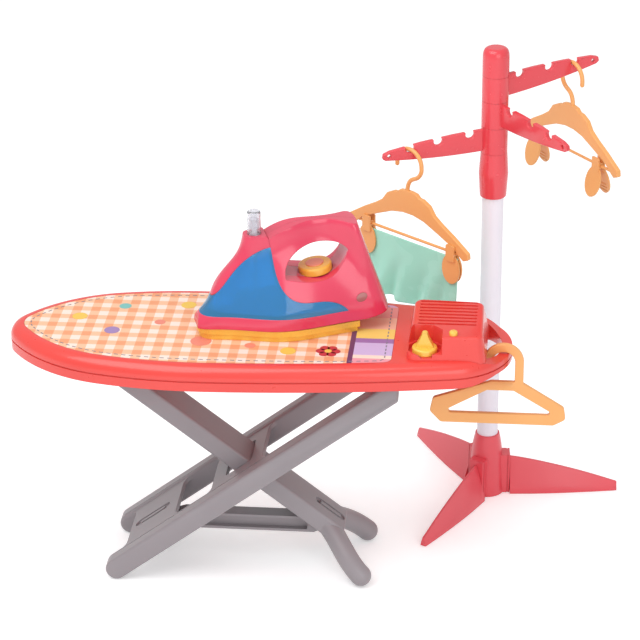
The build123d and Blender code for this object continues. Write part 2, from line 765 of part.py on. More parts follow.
# Inner leg: a channel open below, round at its upper end, with two splayed toes and an oval slot
inner_deg = -degrees(inner_slope)
tee_reach = (outer_pivot_x - cross_x) / cos(inner_slope)
inner_half = inner_depth / 2
channel_half = inner_width / 2 - inner_wall
inner_length = tee_reach + inner_end_reach
channel_length = tee_reach + channel_end_reach
toe_frame = leg_plane(inner_deg)
toes = []
for side in (1, -1):
    with BuildPart() as toe:
        with BuildLine() as toe_line:
            Spline(*(toe_frame.from_local_coords((s, side * y, t)) for s, y, t in toe_path))
        with BuildSketch(Plane(origin=toe_line.line @ 0, z_dir=toe_line.line % 0)):
            Circle(toe_radius)
        sweep()
        with Locations(toe_line.line @ 1):
            Sphere(toe_radius)
    toes.append(toe.part)
with BuildPart() as inner_leg:
    with BuildSketch(side_plane(cross, inner_deg, inset=inner_width / 2)):
        with Locations((inner_length / 2 - tee_reach, 0)):
            Rectangle(inner_length, inner_depth)
        with Locations((-tee_reach, 0)):
            Circle(inner_half)
    extrude(amount=inner_width)
    fillet(inner_leg.edges(), radius=inner_edge)
    add(toes)
    with BuildSketch(side_plane(cross, inner_deg, inset=channel_half)):
        with Locations((channel_length / 2 - tee_reach, -inner_wall - cut_over / 2)):
            Rectangle(channel_length, inner_depth + cut_over)
    extrude(amount=2 * channel_half, mode=Mode.SUBTRACT)
    with BuildSketch(leg_plane(inner_deg, inner_half)):
        with Locations((inner_slot_centre, 0)):
            SlotOverall(inner_slot_length, slot_width)
            SlotOverall(inner_slot_length - slot_rib - slot_hole, slot_rib, mode=Mode.SUBTRACT)
    extrude(amount=-slot_depth, mode=Mode.SUBTRACT)
    with BuildSketch(leg_plane(inner_deg, inner_half)):
        with Locations((inner_slot_centre - inner_slot_length / 2 + slot_hole, 0)):
            Circle(slot_hole / 2)
    extrude(amount=-inner_depth, mode=Mode.SUBTRACT)
    with BuildSketch(side_plane(cross, inset=inner_width)):
        Circle(pin_radius + pin_clearance)
    extrude(amount=2 * inner_width, mode=Mode.SUBTRACT)
    with BuildSketch(side_plane(strut_place, inset=strut_pin_half)):
        Circle(pin_radius)
    extrude(amount=2 * strut_pin_half, mode=Mode.SUBTRACT)
save(inner_leg.part, "inner_leg")

# Pins: two stubs in the board's lugs, two at the crossing, one across the channel for the strut
with BuildPart() as hinge_pins:
    with BuildSketch(side_plane(hinge_place, inset=hinge_pin_half)):
        Circle(pin_radius)
    extrude(amount=hinge_pin_half - lug_outer_y + hinge_lug_thickness)
    mirror(about=Plane.XZ.offset(-board_axis_y))
save(hinge_pins.part, "hinge_pins")
with BuildPart() as cross_pins:
    with BuildSketch(side_plane(cross, inset=beam_inner_y + 2 * pin_radius)):
        Circle(pin_radius)
    extrude(amount=beam_inner_y + 2 * pin_radius - channel_half)
    mirror(about=Plane.XZ.offset(-board_axis_y))
save(cross_pins.part, "cross_pins")
with BuildPart() as strut_pin:
    with BuildSketch(side_plane(strut_place, inset=strut_pin_half)):
        Circle(pin_radius)
    extrude(amount=2 * strut_pin_half)
save(strut_pin.part, "strut_pin")

# Strut: a bar of I section from the pin to a jaw that the latch bar of the outer leg rests in
strut_span = 2 * strut_reach * cos(inner_slope)
jaw_gap = latch_bar_radius + strut_jaw_gap
jaw_side = (-jaw_gap * cos(inner_slope), -jaw_gap * sin(inner_slope))
jaw_lift = 2 * strut_above
with BuildPart() as leg_strut:
    with BuildSketch(side_plane(strut_place, inset=strut_width / 2)):
        Circle(strut_eye_radius)
        with BuildLine():
            FilletPolyline(
                (0, strut_eye_radius - strut_ease),
                (-strut_taper, strut_above),
                (-strut_span + strut_taper, strut_above),
                (-strut_span + jaw_gap, strut_above / 2),
                (-strut_span, -strut_jaw_radius),
                (-strut_span + strut_taper, -strut_below),
                (-strut_taper - strut_eye_radius, -strut_below),
                (0, -strut_eye_radius + strut_ease),
                radius=strut_ease,
                close=True,
            )
        make_face()
        with Locations((-strut_span, 0)):
            Circle(strut_jaw_radius)
            Circle(jaw_gap, mode=Mode.SUBTRACT)
        with BuildLine():
            Polyline(
                (jaw_gap - strut_span, 0),
                (jaw_gap - strut_span, jaw_lift),
                (jaw_side[0] - jaw_lift * tan(inner_slope) - strut_span, jaw_side[1] + jaw_lift),
                (jaw_side[0] - strut_span, jaw_side[1]),
                close=True,
            )
        make_face(mode=Mode.SUBTRACT)
        Circle(pin_radius + pin_clearance, mode=Mode.SUBTRACT)
    extrude(amount=strut_width)
    for pocket_side in (1, -1):
        with BuildSketch(side_plane(strut_place, inset=pocket_side * strut_width / 2)):
            with BuildLine():
                FilletPolyline(
                    (-2 * strut_taper, strut_above - strut_flange),
                    (-strut_span + 2 * strut_taper, strut_above - strut_flange),
                    (-strut_span + 2 * strut_taper, -strut_below + strut_flange),
                    (-2 * strut_taper, -strut_below + strut_flange),
                    radius=strut_ease,
                    close=True,
                )
            make_face()
        extrude(amount=pocket_side * (strut_width - strut_web) / 2, mode=Mode.SUBTRACT)
save(leg_strut.part, "leg_strut")

# Stand: a spindle that carries three turning rings, a cap, a collar, the pole and the hub
stand_frame = Plane(origin=(stand_x, stand_y, 0))
stand_axis = Axis((stand_x, stand_y, 0), (0, 0, 1))
stand_side = side_plane((stand_x, stand_y, 0))
collar_z, *ring_bottoms_z, cap_z = stack_joints_z
with BuildPart() as stand_spindle:
    with BuildSketch(stand_frame.offset(ring_bottoms_z[0] - spindle_hold)):
        Circle(spindle_radius)
    extrude(amount=cap_z - ring_bottoms_z[0] + 2 * spindle_hold)
save(stand_spindle.part, "stand_spindle")

with BuildPart() as stand_cap:
    with BuildSketch(stand_side):
        with BuildLine():
            cap_shoulder_z = cap_z + cap_straight
            Polyline((cap_flat_radius, cap_top_z), (0, cap_top_z), (0, cap_z), (stack_radius, cap_z))
            Line((stack_radius, cap_z), (stack_radius, cap_shoulder_z))
            Spline(
                (stack_radius, cap_shoulder_z),
                (cap_flat_radius, cap_top_z),
                tangents=((0, 1), (-1, 0)),
            )
        make_face()
    revolve(axis=stand_axis)
    with BuildSketch(stand_frame.offset(cap_z)):
        Circle(spindle_radius)
    extrude(amount=spindle_hold, mode=Mode.SUBTRACT)
save(stand_cap.part, "stand_cap")

with BuildPart() as stand_collar:
    with BuildSketch(stand_side):
        with BuildLine():
            Polyline(
                (0, collar_z),
                (stack_radius, collar_z),
                (collar_wide_radius, collar_wide_z),
                (stack_radius, ring_bottoms_z[0] - stack_gap),
                (0, ring_bottoms_z[0] - stack_gap),
                close=True,
            )
        make_face()
    revolve(axis=stand_axis)
    fillet(stand_collar.edges().group_by(Axis.Z)[0], radius=collar_edge)
    with BuildSketch(stand_frame.offset(collar_z)):
        Circle(pole_radius)
    extrude(amount=pole_socket, mode=Mode.SUBTRACT)
    with BuildSketch(stand_frame.offset(ring_bottoms_z[0] - spindle_hold)):
        Circle(spindle_radius)
    extrude(amount=cut_over, mode=Mode.SUBTRACT)
save(stand_collar.part, "stand_collar")

with BuildPart() as stand_pole:
    with BuildSketch(stand_frame.offset(pole_bottom_z)):
        Circle(pole_radius)
        Circle(pole_radius - pole_wall, mode=Mode.SUBTRACT)
    extrude(amount=collar_z + pole_socket - pole_bottom_z)
save(stand_pole.part, "stand_pole")


def stand_arm(ring_bottom_z, ring_top_z, azimuth, rise):
    """A ring that turns on the spindle, with a thin notched arm that points along the azimuth."""
    along = (cos(radians(azimuth)), sin(radians(azimuth)), 0)
    across = (sin(radians(azimuth)), -cos(radians(azimuth)), 0)
    upright = Plane(origin=(stand_x, stand_y, ring_bottom_z), x_dir=along, z_dir=across)

    def lifted(point):
        return (point[0], point[1] + rise * (point[0] - arm_root) / (arm_reach - arm_root))

    with BuildPart() as arm:
        with BuildSketch(upright):
            with BuildLine():
                top = Polyline(*(lifted(point) for point in arm_top + arm_tip))
                ThreePointArc(top @ 1, lifted(arm_belly[0]), arm_belly[1])
                Line(arm_belly[1], top @ 0)
            make_face()
            for reach in arm_notches:
                inner, outer = [pair for pair in zip(arm_top, arm_top[1:]) if pair[0][0] <= reach <= pair[1][0]][0]
                share = (reach - inner[0]) / (outer[0] - inner[0])
                notch_top = lifted((reach, inner[1] + share * (outer[1] - inner[1])))
                with Locations(notch_top):
                    with Locations((0, arm_notch_radius - arm_notch_depth)):
                        Circle(arm_notch_radius, mode=Mode.SUBTRACT)
                    with BuildLine():
                        Polyline(
                            (-arm_notch_radius, arm_notch_radius - arm_notch_depth),
                            (arm_notch_radius, arm_notch_radius - arm_notch_depth),
                            (arm_notch_mouth, arm_notch_radius),
                            (-arm_notch_mouth, arm_notch_radius),
                            close=True,
                        )
                    make_face(mode=Mode.SUBTRACT)
            with Locations(lifted(arm_hole_place)):
                Circle(arm_hole_radius, mode=Mode.SUBTRACT)
        extrude(amount=arm_thickness / 2, both=True)
        fillet(arm.edges(), radius=arm_edge)
        with BuildSketch(stand_frame.offset(ring_bottom_z)):
            Circle(stack_radius)
        extrude(amount=ring_top_z - ring_bottom_z - stack_gap)
        with BuildSketch(stand_frame.offset(ring_bottom_z)):
            Circle(spindle_radius + pin_clearance)
        extrude(amount=ring_top_z - ring_bottom_z, mode=Mode.SUBTRACT)
    return arm.part


ring_spans = list(zip(ring_bottoms_z, list(ring_bottoms_z[1:]) + [cap_z]))
save(stand_arm(*ring_spans[0], arm_azimuths[0], arm_rises[0]), "arm_bottom")
save(stand_arm(*ring_spans[1], arm_azimuths[1], arm_rises[1]), "arm_middle")
save(stand_arm(*ring_spans[2], arm_azimuths[2], arm_rises[2]), "arm_top")

# Hub: a flared socket for the pole with three grooved blocks that the feet slide into from below
with BuildPart() as hub_block:
    with BuildSketch(stand_frame):
        with Locations((hub_block_reach / 2, 0)):
            Rectangle(hub_block_reach, hub_block_width)
    extrude(amount=hub_block_height)
    fillet(hub_block.edges().filter_by(Axis.Z).group_by(Axis.X)[-1], radius=hub_block_edge)
    groove_reach = (foot_tongue_reach + hub_block_reach) / 2
    with BuildSketch(stand_frame):
        with Locations((groove_reach, hub_block_width / 2), (groove_reach, -hub_block_width / 2)):
            Rectangle(hub_block_groove, 2 * hub_block_groove)
    extrude(amount=hub_block_height, mode=Mode.SUBTRACT)
with BuildPart() as foot_slot:
    with BuildSketch(stand_frame):
        with Locations((foot_tongue_reach - foot_tongue_thickness / 2, 0)):
            Rectangle(foot_tongue_thickness + 2 * foot_slot_clearance, foot_tongue_width + 2 * foot_slot_clearance)
        with Locations((foot_tongue_reach + cut_over / 2 - foot_slot_clearance, 0)):
            Rectangle(cut_over, foot_neck + 2 * foot_slot_clearance)
    extrude(amount=foot_tongue_height + foot_slot_clearance)
with BuildPart() as stand_hub:
    with BuildSketch(stand_side):
        with BuildLine():
            Spline(*hub_profile)
            Polyline(hub_profile[-1], (0, 0), (0, hub_mouth_z), hub_profile[0])
        make_face()
    revolve(axis=stand_axis)
    for azimuth in foot_azimuths:
        add(hub_block.part.rotate(stand_axis, azimuth))
    for azimuth in foot_azimuths:
        add(foot_slot.part.rotate(stand_axis, azimuth), mode=Mode.SUBTRACT)
    with BuildSketch(stand_frame.offset(pole_bottom_z)):
        Circle(pole_radius)
    extrude(amount=hub_mouth_z, mode=Mode.SUBTRACT)
save(stand_hub.part, "stand_hub")

# Foot: a ridged, drafted bar that thins to its tip, with a tongue for the hub's groove
with BuildPart() as foot:
    for reach, half_width, height in foot_sections:
        section_share = (reach - foot_sections[0][0]) / (foot_sections[-1][0] - foot_sections[0][0])
        band = foot_band + section_share * (foot_band_end - foot_band)
        with BuildSketch(Plane(origin=(stand_x + reach, stand_y, 0), x_dir=(0, 1, 0), z_dir=(1, 0, 0))):
            Polygon(
                (-half_width, 0),
                (half_width, 0),
                (half_width - foot_draft, band),
                (foot_ridge, height),
                (-foot_ridge, height),
                (-half_width + foot_draft, band),
                align=None,
            )
    loft()
    fillet(foot.faces().sort_by(Axis.X)[-1].edges().group_by(Axis.Z)[1:], radius=foot_tip_edge)
    with BuildSketch(stand_frame):
        with Locations((foot_tongue_reach - foot_tongue_thickness / 2, 0)):
            Rectangle(foot_tongue_thickness, foot_tongue_width)
        neck_length = foot_sections[0][0] - foot_tongue_reach + foot_tongue_thickness
        with Locations((foot_sections[0][0] - neck_length / 2 + foot_draft, 0)):
            Rectangle(neck_length, foot_neck)
    extrude(amount=foot_tongue_height)
for azimuth, place in zip(foot_azimuths, ("right", "rear", "front")):
    save(foot.part.rotate(stand_axis, azimuth), f"foot_{place}")


def hanger_plane(place, heading):
    """The plane of a hanger: x along its shoulders, y up, and its normal towards the front."""
    turn = radians(heading)
    return Plane(origin=place, x_dir=(cos(turn), sin(turn), 0), z_dir=(sin(turn), -cos(turn), 0))


def rod_hanger(place, heading, side):
    """A hook of round wire, scrolled shoulders and a rod under them, all one moulding."""
    upright = hanger_plane(place, heading)
    hook_centre = -hook_radius - hook_wire_radius
    with BuildPart() as hanger:
        with BuildLine(upright) as hook_line:
            Line((-side * hook_radius, hook_centre - hook_tip_length), (-side * hook_radius, hook_centre))
            ThreePointArc(
                (-side * hook_radius, hook_centre),
                (0, -hook_wire_radius),
                (side * hook_radius, hook_centre),
            )
        with BuildLine(upright) as neck_line:
            Spline((side * hook_radius, hook_centre), *((side * u, w) for u, w in neck_path))
        for path in (hook_line.wires()[0], neck_line.wires()[0]):
            with BuildSketch(Plane(origin=path @ 0, z_dir=path % 0)):
                Circle(hook_wire_radius)
            sweep(path=path)
            with Locations(path @ 0):
                Sphere(hook_wire_radius)
        with BuildSketch(upright) as shoulders:
            with BuildLine():
                Polyline(
                    *shoulder_half_outline,
                    *((-u, w) for u, w in reversed(shoulder_half_outline)),
                    close=True,
                )
            make_face()
            fillet(shoulders.vertices(), radius=shoulder_corner)
        blade = extrude(amount=shoulder_thickness / 2, both=True, mode=Mode.PRIVATE)
        add(blade.fillet(shoulder_edge, blade.edges()))
        rod_start = upright.from_local_coords((-rod_half_length, -rod_drop, 0))
        with BuildSketch(Plane(origin=rod_start, z_dir=upright.x_dir)):
            Circle(rod_radius)
        extrude(amount=2 * rod_half_length)
    return hanger.part


def rod_clip(place, heading, along, splay):
    """A ring round the rod with two oval leaves that open downwards and finger tabs above."""
    upright = hanger_plane(place, heading)
    centre = upright.from_local_coords((along, -rod_drop, 0))
    leaf_centre = -clip_leaf_half_length - clip_bore
    with BuildPart() as clip:
        for side in (1, -1):
            outward = upright.z_dir * side
            leaf_out = outward * cos(radians(splay)) + Vector(0, 0, sin(radians(splay)))
            tab_face = Plane(origin=centre, x_dir=upright.x_dir * side, z_dir=outward).offset(clip_tab_inner)
            with BuildSketch(tab_face):
                RectangleRounded(clip_tab_width, 2 * clip_tab_height, clip_bore)
            extrude(amount=clip_leaf_thickness)
            face = Plane(origin=centre, x_dir=upright.x_dir * side, z_dir=leaf_out).offset(clip_leaf_inner)
            with BuildSketch(face):
                with Locations((0, leaf_centre)):
                    Ellipse(clip_leaf_half_width, clip_leaf_half_length)
            extrude(amount=clip_leaf_thickness)
            with BuildSketch(face):
                with Locations((0, -clip_rib_drop)):
                    with GridLocations(0, clip_rib_pitch, 1, 3):
                        Rectangle(clip_rib_length, clip_rib_width)
            extrude(amount=-clip_rib_height)
        with BuildSketch(Plane(origin=centre, z_dir=upright.x_dir)):
            Circle(clip_ring_radius)
        extrude(amount=clip_ring_length / 2, both=True)
        with BuildSketch(Plane(origin=centre, z_dir=upright.x_dir)):
            Circle(clip_bore)
        extrude(amount=2 * clip_leaf_half_width, both=True, mode=Mode.SUBTRACT)
    return clip.part


save(rod_hanger(left_hanger_place, left_hanger_heading, 1), "hanger_left")
save(rod_hanger(right_hanger_place, right_hanger_heading, -1), "hanger_right")
left_at = (left_hanger_place, left_hanger_heading)
right_at = (right_hanger_place, right_hanger_heading)
save(rod_clip(*left_at, left_clip_places[0], left_clip_splay), "clip_left_inner")
save(rod_clip(*left_at, left_clip_places[1], left_clip_splay), "clip_left_outer")
save(rod_clip(*right_at, right_clip_places[0], right_clip_splay), "clip_right_inner")
save(rod_clip(*right_at, right_clip_places[1], right_clip_splay), "clip_right_outer")

# Cloth: a thin sheet lofted through wavy sections from its top edge to its hem
cloth_plane = hanger_plane(left_hanger_place, left_hanger_heading)
wave_length = (cloth_to - cloth_from) / cloth_waves
with BuildPart() as cloth:
    for drop, depth in cloth_sections:
        level = cloth_plane.from_local_coords((0, -cloth_top_drop - drop, 0))
        with BuildSketch(Plane(origin=level, x_dir=cloth_plane.x_dir, z_dir=(0, 0, 1))):
            with BuildLine():
                for offset_across in (-cloth_thickness / 2, cloth_thickness / 2):
                    for wave, wave_share in enumerate(cloth_wave_shares):
                        start = cloth_from + wave * wave_length
                        ThreePointArc(
                            (start, offset_across),
                            (start + wave_length / 2, offset_across + depth * wave_share),
                            (start + wave_length, offset_across),
                        )
                Line((cloth_from, -cloth_thickness / 2), (cloth_from, cloth_thickness / 2))
                Line((cloth_to, -cloth_thickness / 2), (cloth_to, cloth_thickness / 2))
            make_face()
    loft(ruled=True)
save(cloth.part, "cloth")

# Plain hanger: a flat open ring, a short neck and a triangle
hook_x, hook_z = plain_hook_centre
tip_turn = radians(plain_tip_angle)
hook_reach = (plain_hook_inner + plain_hook_outer) / 2
hook_bar = plain_hook_outer - plain_hook_inner
with BuildPart() as plain_hanger:
    with BuildSketch(side_plane((hook_x, plain_y, hook_z))) as plain_face:
        Circle(plain_hook_outer)
        Circle(plain_hook_inner, mode=Mode.SUBTRACT)
        with BuildLine():
            Polyline(
                (0, 0),
                (2 * plain_hook_outer * cos(tip_turn), 2 * plain_hook_outer * sin(tip_turn)),
                (0, -3 * plain_hook_outer),
                (2 * plain_hook_outer, -2 * plain_hook_outer),
                (2 * plain_hook_outer, 0),
                close=True,
            )
        make_face(mode=Mode.SUBTRACT)
        with Locations((hook_reach * cos(tip_turn), hook_reach * sin(tip_turn))):
            Circle(hook_bar / 2)
        with Locations((hook_reach, -plain_neck_length / 2)):
            Rectangle(hook_bar, plain_neck_length)
        with BuildSketch(mode=Mode.PRIVATE) as plain_body:
            Polygon(*plain_outline, align=None)
            fillet(plain_body.vertices().sort_by(Axis.Y)[:-2], radius=plain_outline_corner)
        with BuildSketch(mode=Mode.PRIVATE) as plain_window:
            Polygon(*plain_triangle, align=None)
            fillet(plain_window.vertices(), radius=plain_triangle_corner)
        add(plain_body.sketch)
        add(plain_window.sketch, mode=Mode.SUBTRACT)
    extrude(amount=plain_thickness / 2, both=True)
    fillet(plain_hanger.edges(), radius=plain_edge)
save(plain_hanger.part, "plain_hanger")

# Iron: a lofted form cut to its side profile, then parted into sole, shells, cover and tank
iron_turn = radians(iron_heading)
iron_along = (cos(iron_turn), sin(iron_turn), 0)
iron_floor = Plane(origin=(iron_nose_x, iron_nose_y, board_top_z), x_dir=iron_along, z_dir=(0, 0, 1))
iron_near = (sin(iron_turn), -cos(iron_turn), 0)
iron_side = Plane(origin=(iron_nose_x, iron_nose_y, board_top_z), x_dir=iron_along, z_dir=iron_near)
iron_half = iron_sections[0][2] + cut_over


def iron_plan(height, nose, half_width, rear_half_width, nose_share, inset=0.0):
    """The iron's outline at one height, or the same outline drawn in by an inset."""
    front = nose + inset
    back = iron_rear_top[0] + (iron_rear_top[1] - height) * iron_rear_lean - inset
    wide = half_width - inset
    nose_t, wide_t, rear_t = (front + iron_share * (back - front) for iron_share in iron_shares)
    with BuildSketch() as plan:
        with BuildLine():
            Spline(
                (front, 0),
                (nose_t, wide * nose_share),
                (wide_t, wide),
                (rear_t, rear_half_width - inset),
                (back, 0),
                tangents=((0, 1), (0, -1)),
            )
            mirror(about=Plane.XZ)
        make_face()
    return plan.sketch


with BuildPart() as iron_form:
    for iron_section in iron_sections:
        with BuildSketch(iron_floor.offset(iron_section[0])):
            add(iron_plan(*iron_section))
    loft()
with BuildSketch() as opening_face:
    with BuildLine():
        Spline(*opening_arch)
        Spline(*opening_floor)
    make_face()
with BuildPart() as iron_body:
    with BuildSketch(iron_side):
        with BuildLine():
            Spline(*iron_ridge)
            Polyline(*iron_collar)
            Spline(*iron_handle_top)
            Polyline(iron_handle_top[-1], *iron_rear_low)
        make_face()
        add(opening_face.sketch, mode=Mode.SUBTRACT)
    extrude(amount=iron_half, both=True)
    add(iron_form.part, mode=Mode.INTERSECT)


def iron_point(along, height, across=0.0):
    """A point of the iron in the shared frame."""
    return iron_side.from_local_coords((along, height, -across))


# Regions of the side profile that belong to the tank and to the front cover
tank_nose, tank_back = tank_front[0], tank_rear[-1]
with BuildSketch() as tank_face:
    with BuildLine():
        Spline(*tank_rear)
        Polyline(tank_back, (tank_nose[0], tank_back[1]), tank_nose, tank_front[1])
        Spline(*tank_front[1:])
    make_face()
with BuildSketch() as cover_face:
    with BuildLine():
        Spline(*tank_front[1:])
        Polyline(
            tank_front[1],
            tank_nose,
            (tank_nose[0] - cut_over, tank_nose[1]),
            (tank_nose[0] - cut_over, 2 * iron_collar[1][1]),
            (iron_collar[2][0], 2 * iron_collar[1][1]),
            iron_collar[2],
            iron_collar[3],
            tank_front[-1],
        )
    make_face()

spray_top = iron_floor.offset(spray_seat)
with BuildPart() as spray_bore:
    with BuildSketch(spray_top):
        with Locations((spray_place, 0)):
            Circle(spray_cap_radius + spray_cap_hold)
    extrude(amount=cut_over)
    with BuildSketch(iron_floor.offset(pump_from)):
        with Locations((spray_place, 0)):
            Circle(pump_radius)
    extrude(amount=spray_seat - pump_from)
    with BuildSketch(iron_floor.offset(tube_to)):
        with Locations((spray_place, 0)):
            Circle(tube_radius)
    extrude(amount=pump_from - tube_to)

with BuildSketch() as tank_inside_face:
    with BuildLine():
        Polyline(*tank_rear, (tank_nose[0], tank_back[1]), *tank_front[:-1], close=True)
    make_face()
    offset(amount=-tank_wall)
with BuildPart() as tank_hollow:
    for height, outline in tank_hollow_sections:
        with BuildSketch(iron_floor.offset(height)):
            Polygon(*outline, *((along, -across) for along, across in reversed(outline[1:])), align=None)
    loft(ruled=True)
    with BuildSketch(iron_side):
        add(tank_inside_face.sketch)
    extrude(amount=iron_half, both=True, mode=Mode.INTERSECT, clean=False)

with BuildPart() as iron_tank:
    with BuildSketch(iron_side):
        add(tank_face.sketch)
    extrude(amount=iron_half, both=True)
    add(tank_hollow.part, mode=Mode.SUBTRACT, clean=False)
    add(spray_bore.part, mode=Mode.SUBTRACT, clean=False)
    add(iron_body.part, mode=Mode.INTERSECT, clean=False)
save(iron_tank.part, "iron_tank")

with BuildPart() as iron_front_cover:
    with BuildSketch(iron_side):
        add(cover_face.sketch)
    extrude(amount=iron_half, both=True)
    add(spray_bore.part, mode=Mode.SUBTRACT, clean=False)
    add(iron_body.part, mode=Mode.INTERSECT, clean=False)
save(iron_front_cover.part, "iron_front_cover")

# Steam dial on the floor of the handle's opening, and the ramp under it
dial_turn = radians(dial_tilt)
dial_up = Vector(-sin(dial_turn) * iron_along[0], -sin(dial_turn) * iron_along[1], cos(dial_turn))
dial_plane = Plane(origin=iron_point(*dial_place), x_dir=iron_side.z_dir, z_dir=dial_up).offset(dial_lift)
with BuildPart() as dial_seat:
    with BuildSketch(dial_plane.offset(-dial_lift)):
        Circle(dial_radius + dial_seat_gap)
    extrude(amount=dial_height)
    with BuildSketch(dial_plane.offset(-dial_shaft_length - dial_lift)):
        Circle(dial_shaft_radius + pin_clearance)
    extrude(amount=dial_shaft_length)
with BuildPart() as iron_ramp:
    with BuildSketch(iron_side):
        with BuildLine():
            Spline(*opening_floor)
            Spline(*((along, height - ramp_thickness) for along, height in opening_floor))
            Line(opening_floor[0], (opening_floor[0][0], opening_floor[0][1] - ramp_thickness))
            Line(opening_floor[-1], (opening_floor[-1][0], opening_floor[-1][1] - ramp_thickness))
        make_face()
    extrude(amount=ramp_half_width, both=True)
    add(dial_seat.part, mode=Mode.SUBTRACT, clean=False)
save(iron_ramp.part, "iron_ramp")

with BuildPart() as iron_dial:
    with BuildSketch(dial_plane):
        Circle(dial_radius)
    extrude(amount=dial_height)
    fillet(iron_dial.faces().sort_by(Axis.Z)[-1].edges(), radius=dial_edge)
    with BuildSketch(dial_plane.offset(dial_height - dial_cap_depth)):
        Circle(dial_cap_radius)
    extrude(amount=dial_height, mode=Mode.SUBTRACT, clean=False)
    with BuildSketch(dial_plane.offset(-dial_shaft_length)):
        Circle(dial_shaft_radius)
    extrude(amount=dial_shaft_length)
save(iron_dial.part, "iron_dial")
with BuildPart() as iron_dial_cap:
    with BuildSketch(dial_plane.offset(dial_height - dial_cap_depth)):
        Circle(dial_cap_radius)
    extrude(amount=dial_cap_height)
    fillet(iron_dial_cap.faces().sort_by(Axis.Z)[-1].edges(), radius=dial_cap_depth / 2)
save(iron_dial_cap.part, "iron_dial_cap")

# Lens: an oval let into the near side, flush with it
lens_centre = iron_point(*lens_place)
lens_plane = Plane(origin=lens_centre, x_dir=iron_side.x_dir, z_dir=iron_side.z_dir)
with BuildPart() as lens_well:
    with BuildSketch(lens_plane.offset(lens_floor)):
        Ellipse(*lens_axes, rotation=lens_tilt)
    extrude(amount=iron_half)
with BuildPart() as iron_lens:
    add(lens_well.part)
    add(iron_body.part, mode=Mode.INTERSECT, clean=False)
save(iron_lens.part, "iron_lens")

# Screws in the far side: heads sunk in round wells, shanks that reach over into the near shell
screw_origin = Plane(origin=iron_side.origin, x_dir=iron_side.x_dir, z_dir=iron_side.z_dir)
with BuildPart() as screw_wells:
    with BuildSketch(screw_origin.offset(-screw_seat)):
        with Locations(*screw_places):
            Circle(screw_recess_radius)
    extrude(amount=-iron_half)
with BuildPart() as iron_screws:
    with BuildSketch(screw_origin.offset(-screw_seat)):
        with Locations(*screw_places):
            Circle(screw_head_radius)
    extrude(amount=-screw_head_height)
    with BuildSketch(screw_origin.offset(-screw_seat - screw_head_height)):
        with Locations(*screw_places):
            Rectangle(screw_head_radius + screw_radius, screw_slot)
            Rectangle(screw_slot, screw_head_radius + screw_radius)
    extrude(amount=screw_head_height / 2, mode=Mode.SUBTRACT, clean=False)
    with BuildSketch(screw_origin.offset(-screw_seat)):
        with Locations(*screw_places):
            Circle(screw_radius)
    extrude(amount=screw_seat - screw_end)
save(iron_screws.part, "iron_screws")

# Shells: what is left of the body, hollow in the skirt, parted along the middle
with BuildPart() as iron_shell:
    add(iron_body.part, clean=False)
    with BuildSketch(iron_side):
        add(tank_face.sketch)
        add(cover_face.sketch)
    extrude(amount=iron_half, both=True, mode=Mode.SUBTRACT, clean=False)
    add(iron_ramp.part, mode=Mode.SUBTRACT, clean=False)
    add(lens_well.part, mode=Mode.SUBTRACT, clean=False)
    add(screw_wells.part, mode=Mode.SUBTRACT, clean=False)
    add(iron_screws.part, mode=Mode.SUBTRACT, clean=False)
    add(dial_seat.part, mode=Mode.SUBTRACT, clean=False)
near_half = Plane(origin=iron_side.origin, x_dir=iron_side.x_dir, z_dir=iron_side.z_dir)
with BuildPart() as iron_shell_near:
    add(iron_shell.part, clean=False)
    split(bisect_by=near_half, keep=Keep.TOP)
save(iron_shell_near.part, "iron_shell_near")
with BuildPart() as iron_shell_far:
    add(iron_shell.part, clean=False)
    split(bisect_by=near_half, keep=Keep.BOTTOM)
save(iron_shell_far.part, "iron_shell_far")

# Sole: a stepped plate with the plan of the skirt, cut off square at its heel
with BuildPart() as iron_soleplate:
    for level, thickness, inset in ((0, sole_step, sole_inset), (sole_step, sole_height - sole_step, sole_rim_inset)):
        with BuildSketch(iron_floor.offset(level)):
            add(iron_plan(*iron_sections[0], inset=inset))
            with Locations((sole_length - inset + iron_half, 0)):
                Rectangle(2 * iron_half, 2 * iron_half, mode=Mode.SUBTRACT)
        extrude(amount=thickness)
save(iron_soleplate.part, "iron_soleplate")

# Spray: pump body in the collar, tube into the tank, button on a stem, clear cap over it
with BuildPart() as pump_body:
    with BuildSketch(iron_floor.offset(pump_from)):
        with Locations((spray_place, 0)):
            Circle(pump_radius)
    extrude(amount=spray_seat - pump_from + pump_flange)
    with BuildSketch(iron_floor.offset(pump_from + pump_flange)):
        with Locations((spray_place, 0)):
            Circle(spray_stem_radius + pin_clearance)
    extrude(amount=cut_over, mode=Mode.SUBTRACT)
save(pump_body.part, "pump_body")
with BuildPart() as dip_tube:
    with BuildSketch(iron_floor.offset(tube_to)):
        with Locations((spray_place, 0)):
            Circle(tube_radius)
    extrude(amount=pump_from - tube_to)
save(dip_tube.part, "dip_tube")
with BuildPart() as spray_button:
    with BuildSketch(iron_floor.offset(spray_button_from)):
        with Locations((spray_place, 0)):
            Circle(spray_button_radius)
    extrude(amount=spray_button_top - spray_button_from)
    fillet(spray_button.faces().sort_by(Axis.Z)[-1].edges(), radius=spray_button_edge)
    with BuildSketch(iron_floor.offset(pump_from + pump_flange + spray_travel + stem_rest)):
        with Locations((spray_place, 0)):
            Circle(spray_stem_radius)
    extrude(amount=spray_button_from - pump_from - pump_flange - spray_travel - stem_rest)
    nozzle_height = (spray_button_from + spray_button_top) / 2
    nozzle_face = Plane(origin=iron_point(spray_place, nozzle_height), z_dir=-iron_side.x_dir)
    with BuildSketch(nozzle_face.offset(spray_button_radius - spray_button_edge)):
        Circle(spray_nozzle_radius)
    extrude(amount=spray_button_radius, mode=Mode.SUBTRACT)
save(spray_button.part, "spray_button")
